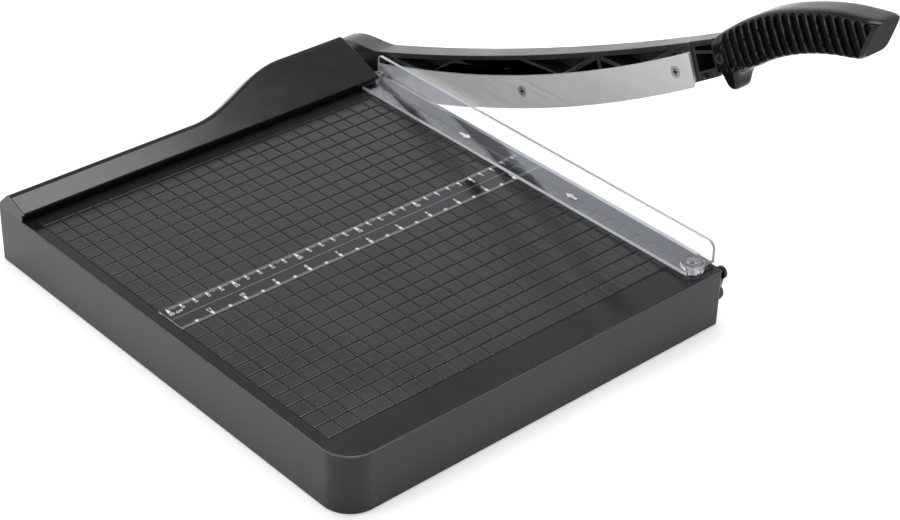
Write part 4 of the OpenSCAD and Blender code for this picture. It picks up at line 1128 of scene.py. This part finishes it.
# The slots are painted darker as shade, and the flat end gets a tone and weaker reflection of its own as
# painted shade
def make_grip():
    mesh = loft_mesh("grip", grip_rings())
    for face in mesh.polygons:
        u, w = arm_frame(face.center)
        place = Vector((u - ARM_LENGTH, w - ARM_END_TOP))
        sunk = GRIP_WIDTH / 2 - abs(face.center.x / MM - GRIP_MID_X)
        in_slot = SLOT_PAINT_FROM < sunk < SLOT_DEPTH + SLOT_PAINT_PAST
        if in_slot and slot_mask(place) > SLOT_PAINT_MASK:
            face.material_index = 1
        if face.normal.dot(GRIP_END_NORMAL) > GRIP_END_FACING and place.x > GRIP_END_X:
            face.material_index = 2
    mesh = smoothed("grip", mesh, GRIP_CREASE)
    add_piece("grip", mesh, "arm", [grip_plastic, grip_slot_shade, grip_end_shade], ["handle"])


make_grip()


# The CAD arm with rounded edges, and a plain finish on its outer side
def make_arm():
    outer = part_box("arm_beam")[1].x - ARM_SKIN * MM

    def outside(face):
        return face.normal.x > FACING and face.calc_center_median().x > outer

    add_rounded_copy(
        "arm_casting", "arm_beam", "arm", [arm_plastic, arm_face],
        ARM_ROUND, 2, outside,
    )


# The CAD blade with rounded corners at its front end
def make_blade():
    bm = closed_copy("blade")
    front = max(arm_frame(v.co)[0] for v in bm.verts)
    corners = []
    for e in bm.edges:
        across = abs(e.verts[0].co.x - e.verts[1].co.x) > BLADE_ACROSS * MM
        if across and all(arm_frame(v.co)[0] > front - BLADE_END_BAND for v in e.verts):
            corners.append(e)
    bmesh.ops.bevel(
        bm, geom=corners, offset=BLADE_CORNER * MM, offset_type="OFFSET", segments=5, profile=0.5,
        affect="EDGES", clamp_overlap=True,
    )
    mesh = smoothed("blade_plate", mesh_from("blade_plate", bm), BLADE_CREASE)
    add_piece("blade_plate", mesh, "arm", [blade_steel], ["blade"])


# Screw heads of the blade: steel faces, with their cross recesses painted dark as shade
def make_blade_screws():
    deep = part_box("blade_screws")[0].x + RECESS_START * MM

    def recessed(face):
        return face.calc_center_median().x > deep

    add_rounded_copy(
        "blade_screw_set", "blade_screws", "arm", [counter_steel, recess_shade],
        SCREW_ROUND, 2, recessed,
    )


make_arm()
make_blade()
make_blade_screws()
add_rounded_copy("latch_lever", "safety_latch", "latch", [latch_black], LATCH_ROUND, 3)


# Clear guard: rounded edges, frosted along the foot's left edge and the wall's top, back and front edges
def make_guard():
    low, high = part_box("paper_clamp")
    band = FROSTED_BAND * MM

    def frosted(face):
        place = face.calc_center_median()
        on_left = face.normal.x < -LEANING and place.x < low.x + band
        on_top = place.z > high.z - band
        on_back = place.y > high.y - band
        near_front = place.y < low.y + FROSTED_FRONT * MM and place.z > FOOT_TOP_Z * MM
        return on_left or on_top or on_back or (near_front and face.normal.y < -LEANING)

    add_rounded_copy(
        "guard_sheet", "paper_clamp", "clamp", [guard_clear, guard_edge],
        GUARD_ROUND, 3, frosted,
    )


# Coil springs under the guard, which shorten in use as it is pressed down; here each gets a mesh of its own
def make_springs():
    for end in ("front", "rear"):
        mesh = mesh_from(f"guard_spring_{end}", closed_copy(f"clamp_spring_{end}"))
        mesh = smoothed(f"guard_spring_{end}", mesh)
        spring = add_piece(mesh.name, mesh, "base", [spring_steel], [f"clamp_spring_{end}"])
        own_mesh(spring)


# Two printed arrows on the guard's foot that point at each other
def make_guard_arrows():
    marks = []
    for tip, toward in FOOT_ARROW_TIPS:
        mark = flat_mark([(x, toward * y) for x, y in FOOT_ARROW])
        mark.transform(Matrix.Translation(Vector((FOOT_ARROW_X, tip, FOOT_PRINT_Z)) * MM))
        marks.append(mark)
    mesh = mesh_from("guard_arrows", merged(marks))
    add_piece("guard_arrows", mesh, "clamp", [ruler_white])


make_guard()
make_springs()
make_guard_arrows()


# Floor and light: rays that see the floor and the surround as a white background
def seen_ray(tree):
    ray = tree.nodes.new("ShaderNodeLightPath")
    seen = math_node(tree, "ADD", ray.outputs["Is Camera Ray"], ray.outputs["Is Transmission Ray"])
    return math_node(tree, "ADD", seen, ray.outputs["Is Glossy Ray"], clamp=True), ray


def make_floor():
    bm = bmesh.new()
    bmesh.ops.create_grid(bm, x_segments=1, y_segments=1, size=FLOOR_HALF)
    bmesh.ops.translate(bm, verts=bm.verts, vec=(0.0, 0.0, -FLOOR_DROP * MM))
    mesh = mesh_from("studio_floor", bm)
    floor = loose_object("studio_floor", mesh)
    material, tree, shader = start_material("floor_white")
    shader.inputs["Base Color"].default_value = (FLOOR_TONE, FLOOR_TONE, FLOOR_TONE, 1.0)
    shader.inputs["Roughness"].default_value = 0.9
    shader.inputs["Specular IOR Level"].default_value = 0.0
    shader.inputs["Emission Color"].default_value = (*WHITE, 1.0)
    glow = math_node(tree, "MULTIPLY", seen_ray(tree)[0], FLOOR_GLOW)
    tree.links.new(glow, shader.inputs["Emission Strength"])
    mesh.materials.append(material)


# White surround to the camera and through the guard, softer fill light, and a studio
# with a bright horizon and ceiling in reflections
def make_surround():
    world = bpy.data.worlds.new("studio_white")
    scene.world = world
    world.use_nodes = True
    tree = world.node_tree
    tree.nodes.clear()
    out = tree.nodes.new("ShaderNodeOutputWorld")
    fill = tree.nodes.new("ShaderNodeBackground")
    fill.inputs["Strength"].default_value = FILL_LEVEL
    white = tree.nodes.new("ShaderNodeBackground")
    seen, ray = seen_ray(tree)
    place = tree.nodes.new("ShaderNodeTexCoord").outputs["Generated"]
    split = tree.nodes.new("ShaderNodeSeparateXYZ")
    tree.links.new(place, split.inputs[0])
    ramp = tree.nodes.new("ShaderNodeValToRGB")
    for end in ramp.color_ramp.elements:
        end.color = (*WHITE, 1.0)
    for height, level in MIRRORED_LEVELS:
        stop = ramp.color_ramp.elements.new(height)
        stop.color = (*(level * tint for tint in MIRRORED_TINT), 1.0)
    tree.links.new(split.outputs["Z"], ramp.inputs["Fac"])
    mirrored = blend_colours(tree, ray.outputs["Is Glossy Ray"], WHITE, ramp.outputs["Color"])
    tree.links.new(mirrored, white.inputs["Color"])
    pick = tree.nodes.new("ShaderNodeMixShader")
    tree.links.new(seen, pick.inputs["Fac"])
    tree.links.new(fill.outputs[0], pick.inputs[1])
    tree.links.new(white.outputs[0], pick.inputs[2])
    tree.links.new(pick.outputs[0], out.inputs["Surface"])


def add_lamp(name, place, target, size, power):
    lamp = bpy.data.lights.new(name, "AREA")
    lamp.shape = "SQUARE"
    lamp.size = size
    lamp.energy = power
    holder = loose_object(name, lamp)
    holder.location = place
    holder.rotation_euler = (Vector(target) - Vector(place)).to_track_quat("-Z", "Y").to_euler()


make_floor()
make_surround()
add_lamp("top_box", place=(0.26, 0.27, 1.6), target=(0.26, 0.27, 0.0), size=1.25, power=21.0)
add_lamp("left_box", place=(-1.6, 0.5, 0.8), target=(0.0, 0.0, 0.05), size=1.0, power=8.0)


# CAD nodes that keep their own shape
FINISHES = {
    cover_plastic: ["bottom_cover"],
    foot_rubber: [f"rubber_foot_{end}_{side}" for end in ("front", "rear") for side in ("left", "right")],
    ruler_gloss: ["ruler_strip"],
    counter_steel: ["counter_blade"],
    spring_steel: ["disc_spring"],
    bush_bronze: ["pivot_bush"],
    latch_black: ["latch_screw", "latch_pin", "handle_screw"],
    zinc_steel: [
        "bottom_cover_screws", "fence_cover_screws", "counter_blade_screws", "pivot_bracket",
        "pivot_bracket_screws", "pivot_bolt", "pivot_spacer", "pivot_washers", "pivot_lock_nut",
        "clamp_guide_screws",
    ],
}
for material, names in FINISHES.items():
    for name in names:
        nodes[name].data.materials.clear()
        nodes[name].data.materials.append(material)
